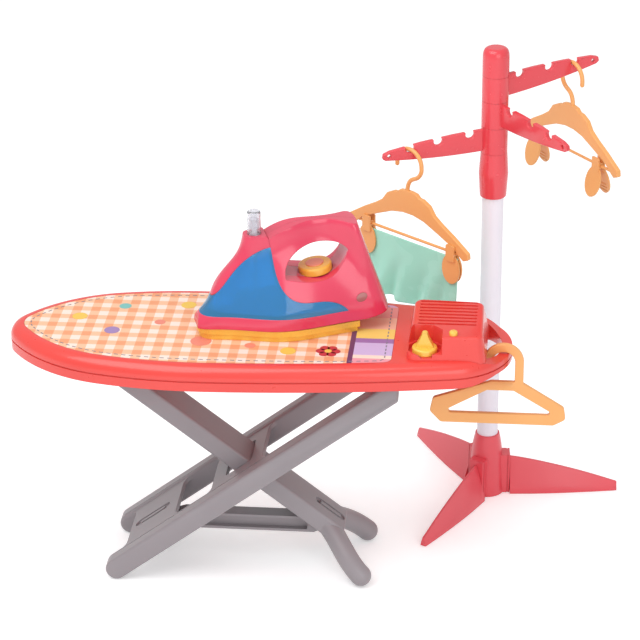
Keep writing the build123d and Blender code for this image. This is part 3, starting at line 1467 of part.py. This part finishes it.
with BuildPart() as spray_cap:
    with BuildSketch(iron_floor.offset(spray_seat)):
        with Locations((spray_place, 0)):
            Circle(spray_cap_radius)
    extrude(amount=spray_cap_top - spray_seat)
    fillet(spray_cap.faces().sort_by(Axis.Z)[-1].edges(), radius=spray_cap_dome)
    with BuildSketch(iron_floor.offset(spray_seat)):
        with Locations((spray_place, 0)):
            Circle(spray_cap_radius - spray_cap_wall)
    extrude(amount=spray_cap_top - spray_seat - spray_cap_wall, mode=Mode.SUBTRACT)
save(spray_cap.part, "spray_cap")
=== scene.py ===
from math import cos, pi, radians, sin

import bpy
from mathutils import Matrix, Vector


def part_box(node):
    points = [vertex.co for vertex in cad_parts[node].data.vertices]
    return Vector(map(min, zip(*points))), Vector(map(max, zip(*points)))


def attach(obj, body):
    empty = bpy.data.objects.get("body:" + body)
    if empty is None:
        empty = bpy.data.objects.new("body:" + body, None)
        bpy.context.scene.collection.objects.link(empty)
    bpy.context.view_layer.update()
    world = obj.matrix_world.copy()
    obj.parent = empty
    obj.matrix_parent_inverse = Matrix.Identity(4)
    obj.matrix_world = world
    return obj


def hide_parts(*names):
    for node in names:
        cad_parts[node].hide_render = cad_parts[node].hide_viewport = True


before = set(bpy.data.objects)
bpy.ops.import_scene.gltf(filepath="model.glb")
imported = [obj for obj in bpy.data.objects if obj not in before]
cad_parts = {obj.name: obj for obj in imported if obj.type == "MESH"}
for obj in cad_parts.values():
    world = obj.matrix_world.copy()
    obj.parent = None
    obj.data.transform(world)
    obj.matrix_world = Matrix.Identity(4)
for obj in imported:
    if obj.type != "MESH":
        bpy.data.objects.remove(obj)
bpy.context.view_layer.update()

# %% [markdown]
# The toy ironing set comes in as imported solids: board, crossed legs, iron, clothes stand and hangers.

# %% [markdown]
# Colours are written as sRGB hex, the way a paint chart gives them, and one function turns them to the
# linear numbers that the shader needs. Each node of a material is added with its settings and its links.


# %% Colour and node helpers
def srgb(code, alpha=1.0):
    """A hex colour as linear numbers."""
    parts = [int(code[i:i + 2], 16) / 255 for i in (1, 3, 5)]
    linear = [c / 12.92 if c <= 0.04045 else ((c + 0.055) / 1.055) ** 2.4 for c in parts]
    return (*linear, alpha)


def add_node(tree, kind, settings=None, **inputs):
    """A node with its settings, and its inputs as values or as links from other nodes' outputs."""
    node = tree.nodes.new(kind)
    for name, value in (settings or {}).items():
        setattr(node, name, value)
    for name, value in inputs.items():
        key = int(name[1:]) if name[0] == "_" else name.replace("_", " ")
        if isinstance(value, bpy.types.NodeSocket):
            tree.links.new(value, node.inputs[key])
        else:
            node.inputs[key].default_value = value
    return node


def math_node(tree, operation, first, second):
    """The output of one sum, product or comparison of two values."""
    return add_node(tree, "ShaderNodeMath", {"operation": operation}, _0=first, _1=second).outputs[0]


def fresh_material(name):
    """An empty material with its shader, and the object coordinates that its patterns lie on."""
    material = bpy.data.materials.new(name)
    material.use_nodes = True
    tree = material.node_tree
    tree.nodes.clear()
    shader = add_node(tree, "ShaderNodeBsdfPrincipled")
    output = add_node(tree, "ShaderNodeOutputMaterial")
    tree.links.new(shader.outputs[0], output.inputs[0])
    place = add_node(tree, "ShaderNodeTexCoord").outputs["Object"]
    return material, tree, shader, place


# %% [markdown]
# Most of the toy is ABS, injection moulded in polished steel tools. It keeps a high gloss with a very
# slight unevenness, a few fine scuffs that only change the roughness, and rounded edges where the tool
# was cut with a ball mill. A bevel in the shading gives those edges their thin line of light.


# %% Moulded plastic
PLASTIC_IOR = 1.53
GLOSS_LIMIT = 0.3
GLOSS_COAT = 0.25
COAT_ROUGHNESS = 0.08
CLOUD_SCALE = 18.0
FINE_SCALE = 160.0


def moulded_plastic(name, code, deep, roughness, scuff=0.05, edge_mm=0.7, ripple=0.012):
    """Gloss or satin plastic as it comes out of a mould."""
    material, tree, shader, place = fresh_material(name)
    cloud = add_node(tree, "ShaderNodeTexNoise", Vector=place, Scale=CLOUD_SCALE, Detail=3.0)
    fine = add_node(tree, "ShaderNodeTexNoise", Vector=place, Scale=FINE_SCALE, Detail=2.0)
    tint = add_node(tree, "ShaderNodeMix", {"data_type": "RGBA"}, Factor=cloud.outputs[0])
    tint.inputs["A"].default_value = srgb(deep)
    tint.inputs["B"].default_value = srgb(code)
    tree.links.new(tint.outputs["Result"], shader.inputs["Base Color"])
    rough = add_node(
        tree, "ShaderNodeMapRange", Value=fine.outputs[0], To_Min=roughness, To_Max=roughness + scuff
    )
    tree.links.new(rough.outputs[0], shader.inputs["Roughness"])
    round_edge = add_node(tree, "ShaderNodeBevel", {"samples": 4}, Radius=edge_mm / 1000)
    bump = add_node(
        tree, "ShaderNodeBump", Strength=ripple, Distance=0.0004, Height=fine.outputs[0],
        Normal=round_edge.outputs[0],
    )
    tree.links.new(bump.outputs[0], shader.inputs["Normal"])
    shader.inputs["IOR"].default_value = PLASTIC_IOR
    shader.inputs["Coat Weight"].default_value = GLOSS_COAT if roughness < GLOSS_LIMIT else 0.0
    shader.inputs["Coat Roughness"].default_value = COAT_ROUGHNESS
    return material


board_abs = moulded_plastic("red ABS, moulded board", "#E8463E", "#DE3D37", 0.26)
stand_abs = moulded_plastic("bright red ABS, moulded stand", "#E64650", "#DA3D48", 0.24)
foot_abs = moulded_plastic("light red ABS, moulded feet", "#E84E5A", "#DC4652", 0.28)
iron_abs = moulded_plastic("crimson ABS, polished iron shell", "#E0405F", "#D63655", 0.15, edge_mm=1.6)
leg_abs = moulded_plastic("warm grey polypropylene legs", "#979094", "#8D868A", 0.36, edge_mm=1.0)
hanger_abs = moulded_plastic("amber tan polypropylene hangers", "#F0AE6A", "#E8A35E", 0.34)
knob_abs = moulded_plastic("warm yellow ABS knob", "#F2C654", "#E9BA47", 0.25)
pole_abs = moulded_plastic("lilac white extruded tube", "#EFEBF3", "#E8E3EE", 0.3, ripple=0.01)
dial_abs = moulded_plastic("golden yellow ABS dial", "#F0B548", "#E6A93C", 0.24)
dial_centre_abs = moulded_plastic("coral ABS dial centre", "#EE8E70", "#E58263", 0.28)
pump_abs = moulded_plastic("white polypropylene pump", "#EDEAF0", "#E2DEE8", 0.35)
lens_abs = moulded_plastic("pinkish brown ABS lens", "#A85A55", "#94484A", 0.08)

# %% [markdown]
# The sole is the same plastic with a metallic gold pigment. Small flakes lie flat in the surface, so it
# is part way to a metal: a warm base colour, some metallic share and a fine speckle in the roughness.

# %% Metallic gold plastic and steel
sole_gold, tree, shader, place = fresh_material("gold pigment ABS, moulded sole")
flake = add_node(tree, "ShaderNodeTexVoronoi", Vector=place, Scale=1400.0)
sheen = add_node(tree, "ShaderNodeMapRange", Value=flake.outputs["Distance"], To_Min=0.24, To_Max=0.36)
tree.links.new(sheen.outputs[0], shader.inputs["Roughness"])
sole_edge = add_node(tree, "ShaderNodeBevel", {"samples": 4}, Radius=0.0008)
tree.links.new(sole_edge.outputs[0], shader.inputs["Normal"])
shader.inputs["Base Color"].default_value = srgb("#F0BF52")
shader.inputs["Metallic"].default_value = 0.35

pin_steel, tree, shader, place = fresh_material("turned steel pins and screws")
lathe = add_node(tree, "ShaderNodeTexNoise", Vector=place, Scale=900.0)
turned = add_node(tree, "ShaderNodeMapRange", Value=lathe.outputs[0], To_Min=0.25, To_Max=0.42)
tree.links.new(turned.outputs[0], shader.inputs["Roughness"])
shader.inputs["Base Color"].default_value = srgb("#B9B9BE")
shader.inputs["Metallic"].default_value = 1.0

# %% [markdown]
# Tank, ramp and spray cap are clear mouldings, tinted in the mass. Light goes into them and comes back
# coloured, so transmission carries the look, with a little roughness from the inside of the mould.


# %% Clear tinted mouldings
def clear_moulding(name, code, transmission, roughness):
    """A see-through tinted plastic with slight flow marks."""
    material, tree, shader, place = fresh_material(name)
    flow = add_node(tree, "ShaderNodeTexNoise", Vector=place, Scale=40.0, Detail=2.0)
    bump = add_node(tree, "ShaderNodeBump", Strength=0.05, Distance=0.0005, Height=flow.outputs[0])
    tree.links.new(bump.outputs[0], shader.inputs["Normal"])
    shader.inputs["Base Color"].default_value = srgb(code)
    shader.inputs["Transmission Weight"].default_value = transmission
    shader.inputs["Roughness"].default_value = roughness
    shader.inputs["IOR"].default_value = 1.49
    return material


tank_blue = clear_moulding("blue clear polystyrene tank", "#48ACEE", 0.62, 0.08)
ramp_pink = clear_moulding("pink clear polystyrene ramp", "#F792A6", 0.5, 0.12)
cap_clear = clear_moulding("clear polystyrene cap", "#F4F4F8", 0.85, 0.06)

# %% [markdown]
# The deck has a printed cover: a gingham in tan and orange, a dark stripe, and a panel of pastel bands
# by the box. A gingham is two sets of stripes that cross, so two square waves on the place in the
# board's plane are added, and their sum picks one of three tones.


# %% Printed cover
def square_wave(tree, coordinate, pitch):
    """Zero in the first half of each pitch, and one in the second."""
    part = math_node(tree, "FRACT", math_node(tree, "MULTIPLY", coordinate, 1 / pitch), 0.0)
    return math_node(tree, "GREATER_THAN", part, 0.5)


def colour_steps(tree, value, steps):
    """A ramp without blending, from pairs of a place and a colour."""
    ramp = add_node(tree, "ShaderNodeValToRGB", Fac=value)
    ramp.color_ramp.interpolation = "CONSTANT"
    while len(ramp.color_ramp.elements) < len(steps):
        ramp.color_ramp.elements.new(1.0)
    for element, (position, code) in zip(ramp.color_ramp.elements, steps):
        element.position = position
        element.color = srgb(code)
    return ramp.outputs[0]


def pick(tree, factor, first, second):
    """The first colour where the factor is zero, and the second where it is one."""
    mix = add_node(tree, "ShaderNodeMix", {"data_type": "RGBA"}, Factor=factor)
    tree.links.new(first, mix.inputs["A"])
    tree.links.new(second, mix.inputs["B"])
    return mix.outputs["Result"]


GINGHAM_PITCH = 0.019
GINGHAM_TONES = ((0.0, "#F3DCCF"), (0.4, "#EFBB98"), (0.9, "#E89C72"))
STRIPE_FROM, PANEL_FROM = 0.032, 0.037
PANEL_LOW, PANEL_HIGH = -0.18, -0.01
PANEL_BANDS = (
    (0.0, "#E79AA6"), (0.16, "#F3D9C8"), (0.2, "#C9B2DA"), (0.36, "#9A6FA8"), (0.42, "#EFCB6B"),
    (0.55, "#F0B49C"), (0.7, "#E88F8C"), (0.85, "#D8A6C8"),
)
STRIPE_COLOUR = "#6B3A63"

cover_print, tree, shader, place = fresh_material("printed woven cover")
axes = add_node(tree, "ShaderNodeSeparateXYZ", Vector=place)
across = square_wave(tree, axes.outputs[0], GINGHAM_PITCH)
along = square_wave(tree, axes.outputs[1], GINGHAM_PITCH)
half_sum = math_node(tree, "MULTIPLY", math_node(tree, "ADD", across, along), 0.5)
gingham = colour_steps(tree, half_sum, GINGHAM_TONES)
height = add_node(
    tree, "ShaderNodeMapRange", Value=axes.outputs[1], From_Min=PANEL_LOW, From_Max=PANEL_HIGH
)
panel = colour_steps(tree, height.outputs[0], PANEL_BANDS)
in_panel = math_node(tree, "GREATER_THAN", axes.outputs[0], PANEL_FROM)
in_stripe = math_node(tree, "GREATER_THAN", axes.outputs[0], STRIPE_FROM)
stripe = add_node(tree, "ShaderNodeRGB")
stripe.outputs[0].default_value = srgb(STRIPE_COLOUR)
with_stripe = pick(tree, in_stripe, gingham, stripe.outputs[0])
whole_print = pick(tree, in_panel, with_stripe, panel)
tree.links.new(whole_print, shader.inputs["Base Color"])
thread = add_node(tree, "ShaderNodeTexNoise", Vector=place, Scale=1300.0, Detail=1.0)
weave = add_node(tree, "ShaderNodeBump", Strength=0.12, Distance=0.0003, Height=thread.outputs[0])
tree.links.new(weave.outputs[0], shader.inputs["Normal"])
shader.inputs["Roughness"].default_value = 0.55

# %% [markdown]
# The small cloth is a thin mint cotton. Its plain weave is far finer than a pixel, so it is drawn
# coarser here, with threads 0.9 mm apart, and the pale sheen of loose fibres lies over it.

# %% Mint cotton
THREAD_SCALE = 340.0
mint_cotton, tree, shader, place = fresh_material("mint cotton, plain weave")
warp, weft = (
    add_node(
        tree, "ShaderNodeTexWave", {"bands_direction": way}, Vector=place, Scale=THREAD_SCALE, Distortion=0.6
    )
    for way in ("X", "Z")
)
crossed = math_node(tree, "ADD", warp.outputs[1], weft.outputs[1])
weave = add_node(tree, "ShaderNodeBump", Strength=0.25, Distance=0.0003, Height=crossed)
tree.links.new(weave.outputs[0], shader.inputs["Normal"])
fade = add_node(tree, "ShaderNodeTexNoise", Vector=place, Scale=25.0)
dye = colour_steps(tree, fade.outputs[0], ((0.0, "#A0E6D0"), (0.5, "#A7EAD5")))
tree.links.new(dye, shader.inputs["Base Color"])
shader.inputs["Roughness"].default_value = 0.8
shader.inputs["Sheen Weight"].default_value = 0.3

# %% [markdown]
# Every solid gets its finish by name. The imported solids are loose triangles, so a Weld joins them, and a
# small tree of Geometry Nodes shades them smooth except where two faces meet at a real edge.

# %% Smooth shading with real edges kept
EDGE_ANGLE = radians(32)
smoothing = bpy.data.node_groups.new("smooth but for real edges", "GeometryNodeTree")
smoothing.interface.new_socket("Geometry", in_out="INPUT", socket_type="NodeSocketGeometry")
smoothing.interface.new_socket("Geometry", in_out="OUTPUT", socket_type="NodeSocketGeometry")
inlet = add_node(smoothing, "NodeGroupInput")
outlet = add_node(smoothing, "NodeGroupOutput")
turn = add_node(smoothing, "GeometryNodeInputMeshEdgeAngle")
gentle_edge = add_node(
    smoothing, "FunctionNodeCompare", {"operation": "LESS_THAN"},
    A=turn.outputs["Unsigned Angle"], B=EDGE_ANGLE,
)
faces_smooth = add_node(
    smoothing, "GeometryNodeSetShadeSmooth", {"domain": "FACE"}, Geometry=inlet.outputs[0]
)
edges_smooth = add_node(
    smoothing, "GeometryNodeSetShadeSmooth", {"domain": "EDGE"},
    Geometry=faces_smooth.outputs[0], Shade_Smooth=gentle_edge.outputs[0],
)
smoothing.links.new(edges_smooth.outputs[0], outlet.inputs[0])

# %% Finishes by piece
WELD_REACH = 0.00001
finishes = {
    board_abs: ("board_shell", "station_box"),
    cover_print: ("board_cover",),
    knob_abs: ("station_knob", "station_button"),
    leg_abs: ("outer_leg", "inner_leg", "leg_strut"),
    pin_steel: ("hinge_pins", "cross_pins", "strut_pin", "iron_screws"),
    pole_abs: ("stand_pole", "stand_spindle"),
    stand_abs: ("stand_cap", "stand_collar", "arm_bottom", "arm_middle", "arm_top"),
    foot_abs: ("stand_hub", "foot_right", "foot_rear", "foot_front"),
    hanger_abs: (
        "hanger_left", "hanger_right", "clip_left_inner", "clip_left_outer", "clip_right_inner",
        "clip_right_outer", "plain_hanger",
    ),
    iron_abs: ("iron_shell_near", "iron_shell_far", "iron_front_cover"),
    tank_blue: ("iron_tank",),
    ramp_pink: ("iron_ramp",),
    sole_gold: ("iron_soleplate",),
    dial_abs: ("iron_dial",),
    dial_centre_abs: ("iron_dial_cap",),
    lens_abs: ("iron_lens",),
    pump_abs: ("pump_body", "dip_tube", "spray_button"),
    cap_clear: ("spray_cap",),
    mint_cotton: ("cloth",),
}
for finish, names in finishes.items():
    for name in names:
        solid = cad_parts[name]
        solid.data.materials.clear()
        solid.data.materials.append(finish)
        weld = solid.modifiers.new("join triangles", "WELD")
        weld.merge_threshold = WELD_REACH
        shading = solid.modifiers.new("smooth but for real edges", "NODES")
        shading.node_group = smoothing
print("finished", sum(len(names) for names in finishes.values()), "solids")

# %% [markdown]
# The seam of the cover is a row of grey stitches just inside its edge. A curve follows the edge, and
# Geometry Nodes set one short stitch at each step of it, turned along the curve.


# %% Line of the seam, just inside the cover's edge
def hull_of(points):
    """The convex outline of points in a plane, counter-clockwise."""
    points = sorted(set(points))
    halves = []
    for run in (points, points[::-1]):
        chain = []
        for p in run:
            while len(chain) > 1:
                (ax, ay), (bx, by) = chain[-2], chain[-1]
                if (bx - ax) * (p[1] - ay) - (by - ay) * (p[0] - ax) > 0:
                    break
                chain.pop()
            chain.append(p)
        halves.append(chain[:-1])
    return halves[0] + halves[1]


DECK_TOP = 0.266
SEAM_INSET = 0.0069
cover_low, cover_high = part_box("board_cover")
cover_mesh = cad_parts["board_cover"].data
outline = hull_of([(round(v.co.x, 5), round(v.co.y, 5)) for v in cover_mesh.vertices])
middle = Vector(((cover_low[0] + cover_high[0]) / 2, (cover_low[1] + cover_high[1]) / 2))
seam = []
for x, y in outline:
    arm = Vector((x, y)) - middle
    inner = Vector((x, y)) - arm.normalized() * SEAM_INSET
    seam.append((inner.x, inner.y))
print("seam follows", len(seam), "points")


# %% Stitches along the seam
def plain_mesh(carrier, name):
    """The evaluated carrier as a plain mesh object. The carrier is removed."""
    bpy.context.view_layer.update()
    graph = bpy.context.evaluated_depsgraph_get()
    mesh = bpy.data.meshes.new_from_object(carrier.evaluated_get(graph))
    mesh.name = name
    piece = bpy.data.objects.new(name, mesh)
    bpy.context.collection.objects.link(piece)
    data = carrier.data
    bpy.data.objects.remove(carrier)
    if isinstance(data, bpy.types.Curve):
        bpy.data.curves.remove(data)
    return piece


def set_input(modifier, label, value):
    """Sets a modifier's input through the identifier of its socket."""
    for item in modifier.node_group.interface.items_tree:
        if item.name == label and item.in_out == "INPUT":
            modifier[item.identifier] = value


thread_grey = moulded_plastic("grey printed stitch", "#8E8791", "#827B86", 0.6)
stitch_tree = bpy.data.node_groups.new("stitches on a curve", "GeometryNodeTree")
stitch_tree.interface.new_socket("Seam", in_out="INPUT", socket_type="NodeSocketGeometry")
for label, value in (("Pitch", 0.0078), ("Length", 0.0042), ("Width", 0.0012), ("Height", 0.0003)):
    socket = stitch_tree.interface.new_socket(label, in_out="INPUT", socket_type="NodeSocketFloat")
    socket.default_value = value
stitch_tree.interface.new_socket("Stitches", in_out="OUTPUT", socket_type="NodeSocketGeometry")
inlet = add_node(stitch_tree, "NodeGroupInput")
outlet = add_node(stitch_tree, "NodeGroupOutput")
points = add_node(
    stitch_tree, "GeometryNodeCurveToPoints", {"mode": "LENGTH"}, Curve=inlet.outputs["Seam"],
    Length=inlet.outputs["Pitch"],
)
size = add_node(
    stitch_tree, "ShaderNodeCombineXYZ", X=inlet.outputs["Width"], Y=inlet.outputs["Height"],
    Z=inlet.outputs["Length"],
)
stitch = add_node(stitch_tree, "GeometryNodeMeshCube", Size=size.outputs[0])
placed = add_node(
    stitch_tree, "GeometryNodeInstanceOnPoints", Points=points.outputs["Points"],
    Instance=stitch.outputs[0], Rotation=points.outputs["Rotation"],
)
real = add_node(stitch_tree, "GeometryNodeRealizeInstances", Geometry=placed.outputs[0])
inked = add_node(
    stitch_tree, "GeometryNodeSetMaterial", Geometry=real.outputs[0], Material=thread_grey
)
stitch_tree.links.new(inked.outputs[0], outlet.inputs[0])

seam_curve = bpy.data.curves.new("seam", "CURVE")
seam_curve.dimensions = "3D"
run = seam_curve.splines.new("POLY")
run.points.add(len(seam) - 1)
for point, (x, y) in zip(run.points, seam):
    point.co = (x, y, DECK_TOP, 1)
run.use_cyclic_u = True
seam_carrier = bpy.data.objects.new("seam", seam_curve)
bpy.context.collection.objects.link(seam_carrier)
sewing = seam_carrier.modifiers.new("stitches", "NODES")
sewing.node_group = stitch_tree
stitches = plain_mesh(seam_carrier, "cover_stitches")
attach(stitches, "board")
print("stitches", len(stitches.data.polygons) // 6)

# %% [markdown]
# Coloured dots are printed over the gingham. Each is a thin disc that lies on the cover, made by one
# tree with its radius and its ink as inputs. A small flower beside the panel is made of the same discs.

# %% Dots on the cover
dot_tree = bpy.data.node_groups.new("flat dot", "GeometryNodeTree")
dot_tree.interface.new_socket("Geometry", in_out="INPUT", socket_type="NodeSocketGeometry")
for label, value in (("Radius", 0.006), ("Thickness", 0.0003)):
    socket = dot_tree.interface.new_socket(label, in_out="INPUT", socket_type="NodeSocketFloat")
    socket.default_value = value
dot_tree.interface.new_socket("Ink", in_out="INPUT", socket_type="NodeSocketMaterial")
dot_tree.interface.new_socket("Dots", in_out="OUTPUT", socket_type="NodeSocketGeometry")
inlet = add_node(dot_tree, "NodeGroupInput")
outlet = add_node(dot_tree, "NodeGroupOutput")
disc = add_node(
    dot_tree, "GeometryNodeMeshCylinder", Vertices=40, Radius=inlet.outputs["Radius"],
    Depth=inlet.outputs["Thickness"],
)
placed = add_node(
    dot_tree, "GeometryNodeInstanceOnPoints", Points=inlet.outputs["Geometry"],
    Instance=disc.outputs[0],
)
real = add_node(dot_tree, "GeometryNodeRealizeInstances", Geometry=placed.outputs[0])
inked = add_node(
    dot_tree, "GeometryNodeSetMaterial", Geometry=real.outputs[0], Material=inlet.outputs["Ink"]
)
dot_tree.links.new(inked.outputs[0], outlet.inputs[0])


def print_dots(name, centres, radius, ink, lift=0.0):
    """Thin discs on the deck at the given centres, in metres."""
    mesh = bpy.data.meshes.new(name + " centres")
    mesh.from_pydata([(x, y, DECK_TOP + lift) for x, y in centres], [], [])
    carrier = bpy.data.objects.new(name + " carrier", mesh)
    bpy.context.collection.objects.link(carrier)
    stamp = carrier.modifiers.new("dots", "NODES")
    stamp.node_group = dot_tree
    set_input(stamp, "Radius", radius)
    set_input(stamp, "Ink", ink)
    piece = plain_mesh(carrier, name)
    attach(piece, "board")
    return piece


yellow_ink = moulded_plastic("yellow printed dot", "#EFC65A", "#E6B94C", 0.5)
teal_ink = moulded_plastic("teal printed dot", "#7FBFB8", "#73B3AD", 0.5)
purple_ink = moulded_plastic("purple printed dot", "#A486B8", "#9778AC", 0.5)
salmon_ink = moulded_plastic("salmon printed dot", "#EB8F7C", "#E2806D", 0.5)
red_ink = moulded_plastic("red printed petals", "#C93A44", "#BC303B", 0.45)
LARGE_DOT, DOT, SMALL_DOT, TINY_DOT = 0.0105, 0.0078, 0.0062, 0.0055
print_dots("dots_yellow", [(-0.2462, -0.0797), (-0.1395, -0.0453), (-0.0274, -0.1426)], DOT, yellow_ink)
print_dots("dots_teal", [(-0.2039, -0.0527)], SMALL_DOT, teal_ink)
print_dots("dots_purple", [(-0.2084, -0.1093)], DOT, purple_ink)
print_dots("dots_pink", [(-0.1631, -0.0873), (-0.0662, -0.1334)], TINY_DOT, salmon_ink)
print_dots("dots_salmon", [(-0.1160, -0.1272)], LARGE_DOT, salmon_ink)

FLOWER_X, FLOWER_Y = 0.0120, -0.1400
PETALS, PETAL_REACH, PETAL_RADIUS = 6, 0.0075, 0.0048
EYE_RADIUS, EYE_LIFT = 0.0036, 0.0002
turns = [2 * pi * k / PETALS for k in range(PETALS)]
petals = [(FLOWER_X + PETAL_REACH * cos(a), FLOWER_Y + PETAL_REACH * sin(a)) for a in turns]
print_dots("flower_petals", petals, PETAL_RADIUS, red_ink)
print_dots("flower_centre", [(FLOWER_X, FLOWER_Y)], EYE_RADIUS, yellow_ink, lift=EYE_LIFT)

# %% [markdown]
# The cloth hangs from two clips and falls in soft folds that deepen towards its hem and lean a little to
# one side. A grid follows the hanger's line, and each row is pushed in and out by a sum of waves.

# %% Hanging cloth
# Each wave of the folds is its depth, its pitch along the cloth and its phase.
HANGER_PLACE = (0.0801, 0.0389, 0.4126)
HANGER_TURN = radians(-38)
CLOTH_FROM, CLOTH_TO = -0.062, 0.067
CLOTH_TOP_DROP, CLOTH_DROP = 0.105, 0.0715
CLOTH_THICKNESS = 0.0007
FLAT_DROP = 0.014
FOLD_LEAN = 0.25
FOLD_WAVES = ((0.0042, 0.033, 0.0), (0.0013, 0.021, 1.3))
COLUMNS, ROWS = 150, 60
line = Vector((cos(HANGER_TURN), sin(HANGER_TURN), 0))
out = Vector((sin(HANGER_TURN), -cos(HANGER_TURN), 0))


def fold(along, drop):
    """How far the cloth stands out of its plane, from its place along the hanger and below its top."""
    share = max(0.0, (drop - FLAT_DROP) / (CLOTH_DROP - FLAT_DROP))
    grown = share * share * (3 - 2 * share)
    lean = along + FOLD_LEAN * drop
    return grown * sum(depth * sin(2 * pi * lean / pitch + phase) for depth, pitch, phase in FOLD_WAVES)


def cloth_point(column, row):
    """A point of the cloth's middle surface."""
    along = CLOTH_FROM + (CLOTH_TO - CLOTH_FROM) * column / COLUMNS
    drop = CLOTH_DROP * row / ROWS
    place = Vector(HANGER_PLACE) + line * along + out * fold(along, drop)
    place.z -= CLOTH_TOP_DROP + drop
    return place


cloth_points = [cloth_point(c, r) for r in range(ROWS + 1) for c in range(COLUMNS + 1)]
step = COLUMNS + 1
cloth_faces = [
    (r * step + c, (r + 1) * step + c, (r + 1) * step + c + 1, r * step + c + 1)
    for r in range(ROWS) for c in range(COLUMNS)
]
cloth_mesh = bpy.data.meshes.new("cloth_folds")
cloth_mesh.from_pydata([tuple(p) for p in cloth_points], [], cloth_faces)
cloth_mesh.shade_smooth()
cloth_mesh.materials.append(mint_cotton)
cloth = bpy.data.objects.new("cloth_folds", cloth_mesh)
bpy.context.collection.objects.link(cloth)
thickness = cloth.modifiers.new("cloth thickness", "SOLIDIFY")
thickness.thickness = CLOTH_THICKNESS
thickness.offset = 0
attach(cloth, "hanger_left")
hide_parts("cloth")

# %% [markdown]
# The set stands on a plain pale floor under a broad soft light from above and the left, with a weaker
# fill from the front. The background gives the toy a weak even light, and is full white only to the
# camera and through clear pieces. The floor glows a little to the camera and in reflections only, so it
# looks white there and adds no light to the toy.

# %% Floor and world
FLOOR_HALF = 6
FLOOR_DROP = 0.0004
FLOOR_GLOW = 0.3
WEAK_LIGHT, FULL_WHITE = 0.7, 1.0
floor_mesh = bpy.data.meshes.new("floor")
corners = [(FLOOR_HALF * x, FLOOR_HALF * y) for x, y in ((-1, -1), (1, -1), (1, 1), (-1, 1))]
floor_mesh.from_pydata([(x, y, 0) for x, y in corners], [], [(0, 1, 2, 3)])
floor = bpy.data.objects.new("floor", floor_mesh)
bpy.context.collection.objects.link(floor)
floor.location.z = -FLOOR_DROP
pale, tree, shader, place = fresh_material("pale studio paper")
grain = add_node(tree, "ShaderNodeTexNoise", Vector=place, Scale=60.0)
paper = colour_steps(tree, grain.outputs[0], ((0.0, "#F6F6F7"), (0.5, "#F8F8F9")))
tree.links.new(paper, shader.inputs["Base Color"])
shader.inputs["Roughness"].default_value = 0.9
rays = add_node(tree, "ShaderNodeLightPath")
seen = math_node(tree, "MAXIMUM", rays.outputs["Is Camera Ray"], rays.outputs["Is Glossy Ray"])
glow = math_node(tree, "MULTIPLY", seen, FLOOR_GLOW)
shader.inputs["Emission Color"].default_value = srgb("#FFFFFF")
tree.links.new(glow, shader.inputs["Emission Strength"])
floor_mesh.materials.append(pale)

world = bpy.data.worlds.new("studio")
bpy.context.scene.world = world
world.use_nodes = True
tree = world.node_tree
tree.nodes.clear()
rays = add_node(tree, "ShaderNodeLightPath")
seen = math_node(tree, "MAXIMUM", rays.outputs["Is Camera Ray"], rays.outputs["Is Transmission Ray"])
strength = add_node(tree, "ShaderNodeMapRange", Value=seen, To_Min=WEAK_LIGHT, To_Max=FULL_WHITE)
sky = add_node(tree, "ShaderNodeBackground", Color=srgb("#FFFFFF"), Strength=strength.outputs[0])
add_node(tree, "ShaderNodeOutputWorld", Surface=sky.outputs[0])


# %% Lamps
def soft_lamp(name, place, target, size, power):
    """A square area lamp that faces its target."""
    lamp = bpy.data.lights.new(name, "AREA")
    lamp.size = size
    lamp.energy = power
    holder = bpy.data.objects.new(name, lamp)
    bpy.context.collection.objects.link(holder)
    aim = Vector(target) - Vector(place)
    holder.matrix_world = Matrix.Translation(place) @ aim.to_track_quat("-Z", "Y").to_matrix().to_4x4()


soft_lamp("overhead", (-0.6, -0.7, 1.9), (0, 0, 0.2), 1.6, 22)
soft_lamp("front fill", (0.9, -1.9, 0.9), (0, 0, 0.25), 1.2, 10)

# %% [markdown]
# The camera stands where the photographer's did: 2.4 m in front, 1.4 m up, looking down by 25 degrees
# through a long lens. Its three axes are set one by one, because it is also rolled a little.

# %% Camera
YAW, PITCH, ROLL = radians(-5.5), radians(25.39), radians(-0.45)
PICTURE_PX, SENSOR_MM = 640, 36
FOCAL_PX, CENTRE_X, CENTRE_Y = 2551.4, 321.4, 305.6
CAMERA_PLACE = (0.2214, -2.3801, 1.3836)
forward = Vector((sin(YAW) * cos(PITCH), cos(YAW) * cos(PITCH), -sin(PITCH)))
level = Vector((cos(YAW), -sin(YAW), 0))
upward = level.cross(forward)
right = level * cos(ROLL) + upward * sin(ROLL)
top = upward * cos(ROLL) - level * sin(ROLL)
view = bpy.data.cameras.new("camera")
view.sensor_width = SENSOR_MM
view.lens = FOCAL_PX * SENSOR_MM / PICTURE_PX
view.shift_x = 0.5 - CENTRE_X / PICTURE_PX
view.shift_y = CENTRE_Y / PICTURE_PX - 0.5
view.clip_end = 50
camera = bpy.data.objects.new("camera", view)
bpy.context.collection.objects.link(camera)
facing = Matrix((right, top, -forward)).transposed().to_4x4()
camera.matrix_world = Matrix.Translation(CAMERA_PLACE) @ facing
bpy.context.scene.camera = camera
bpy.context.scene.view_settings.view_transform = "Standard"

# %% Last update of the scene
bpy.context.view_layer.update()
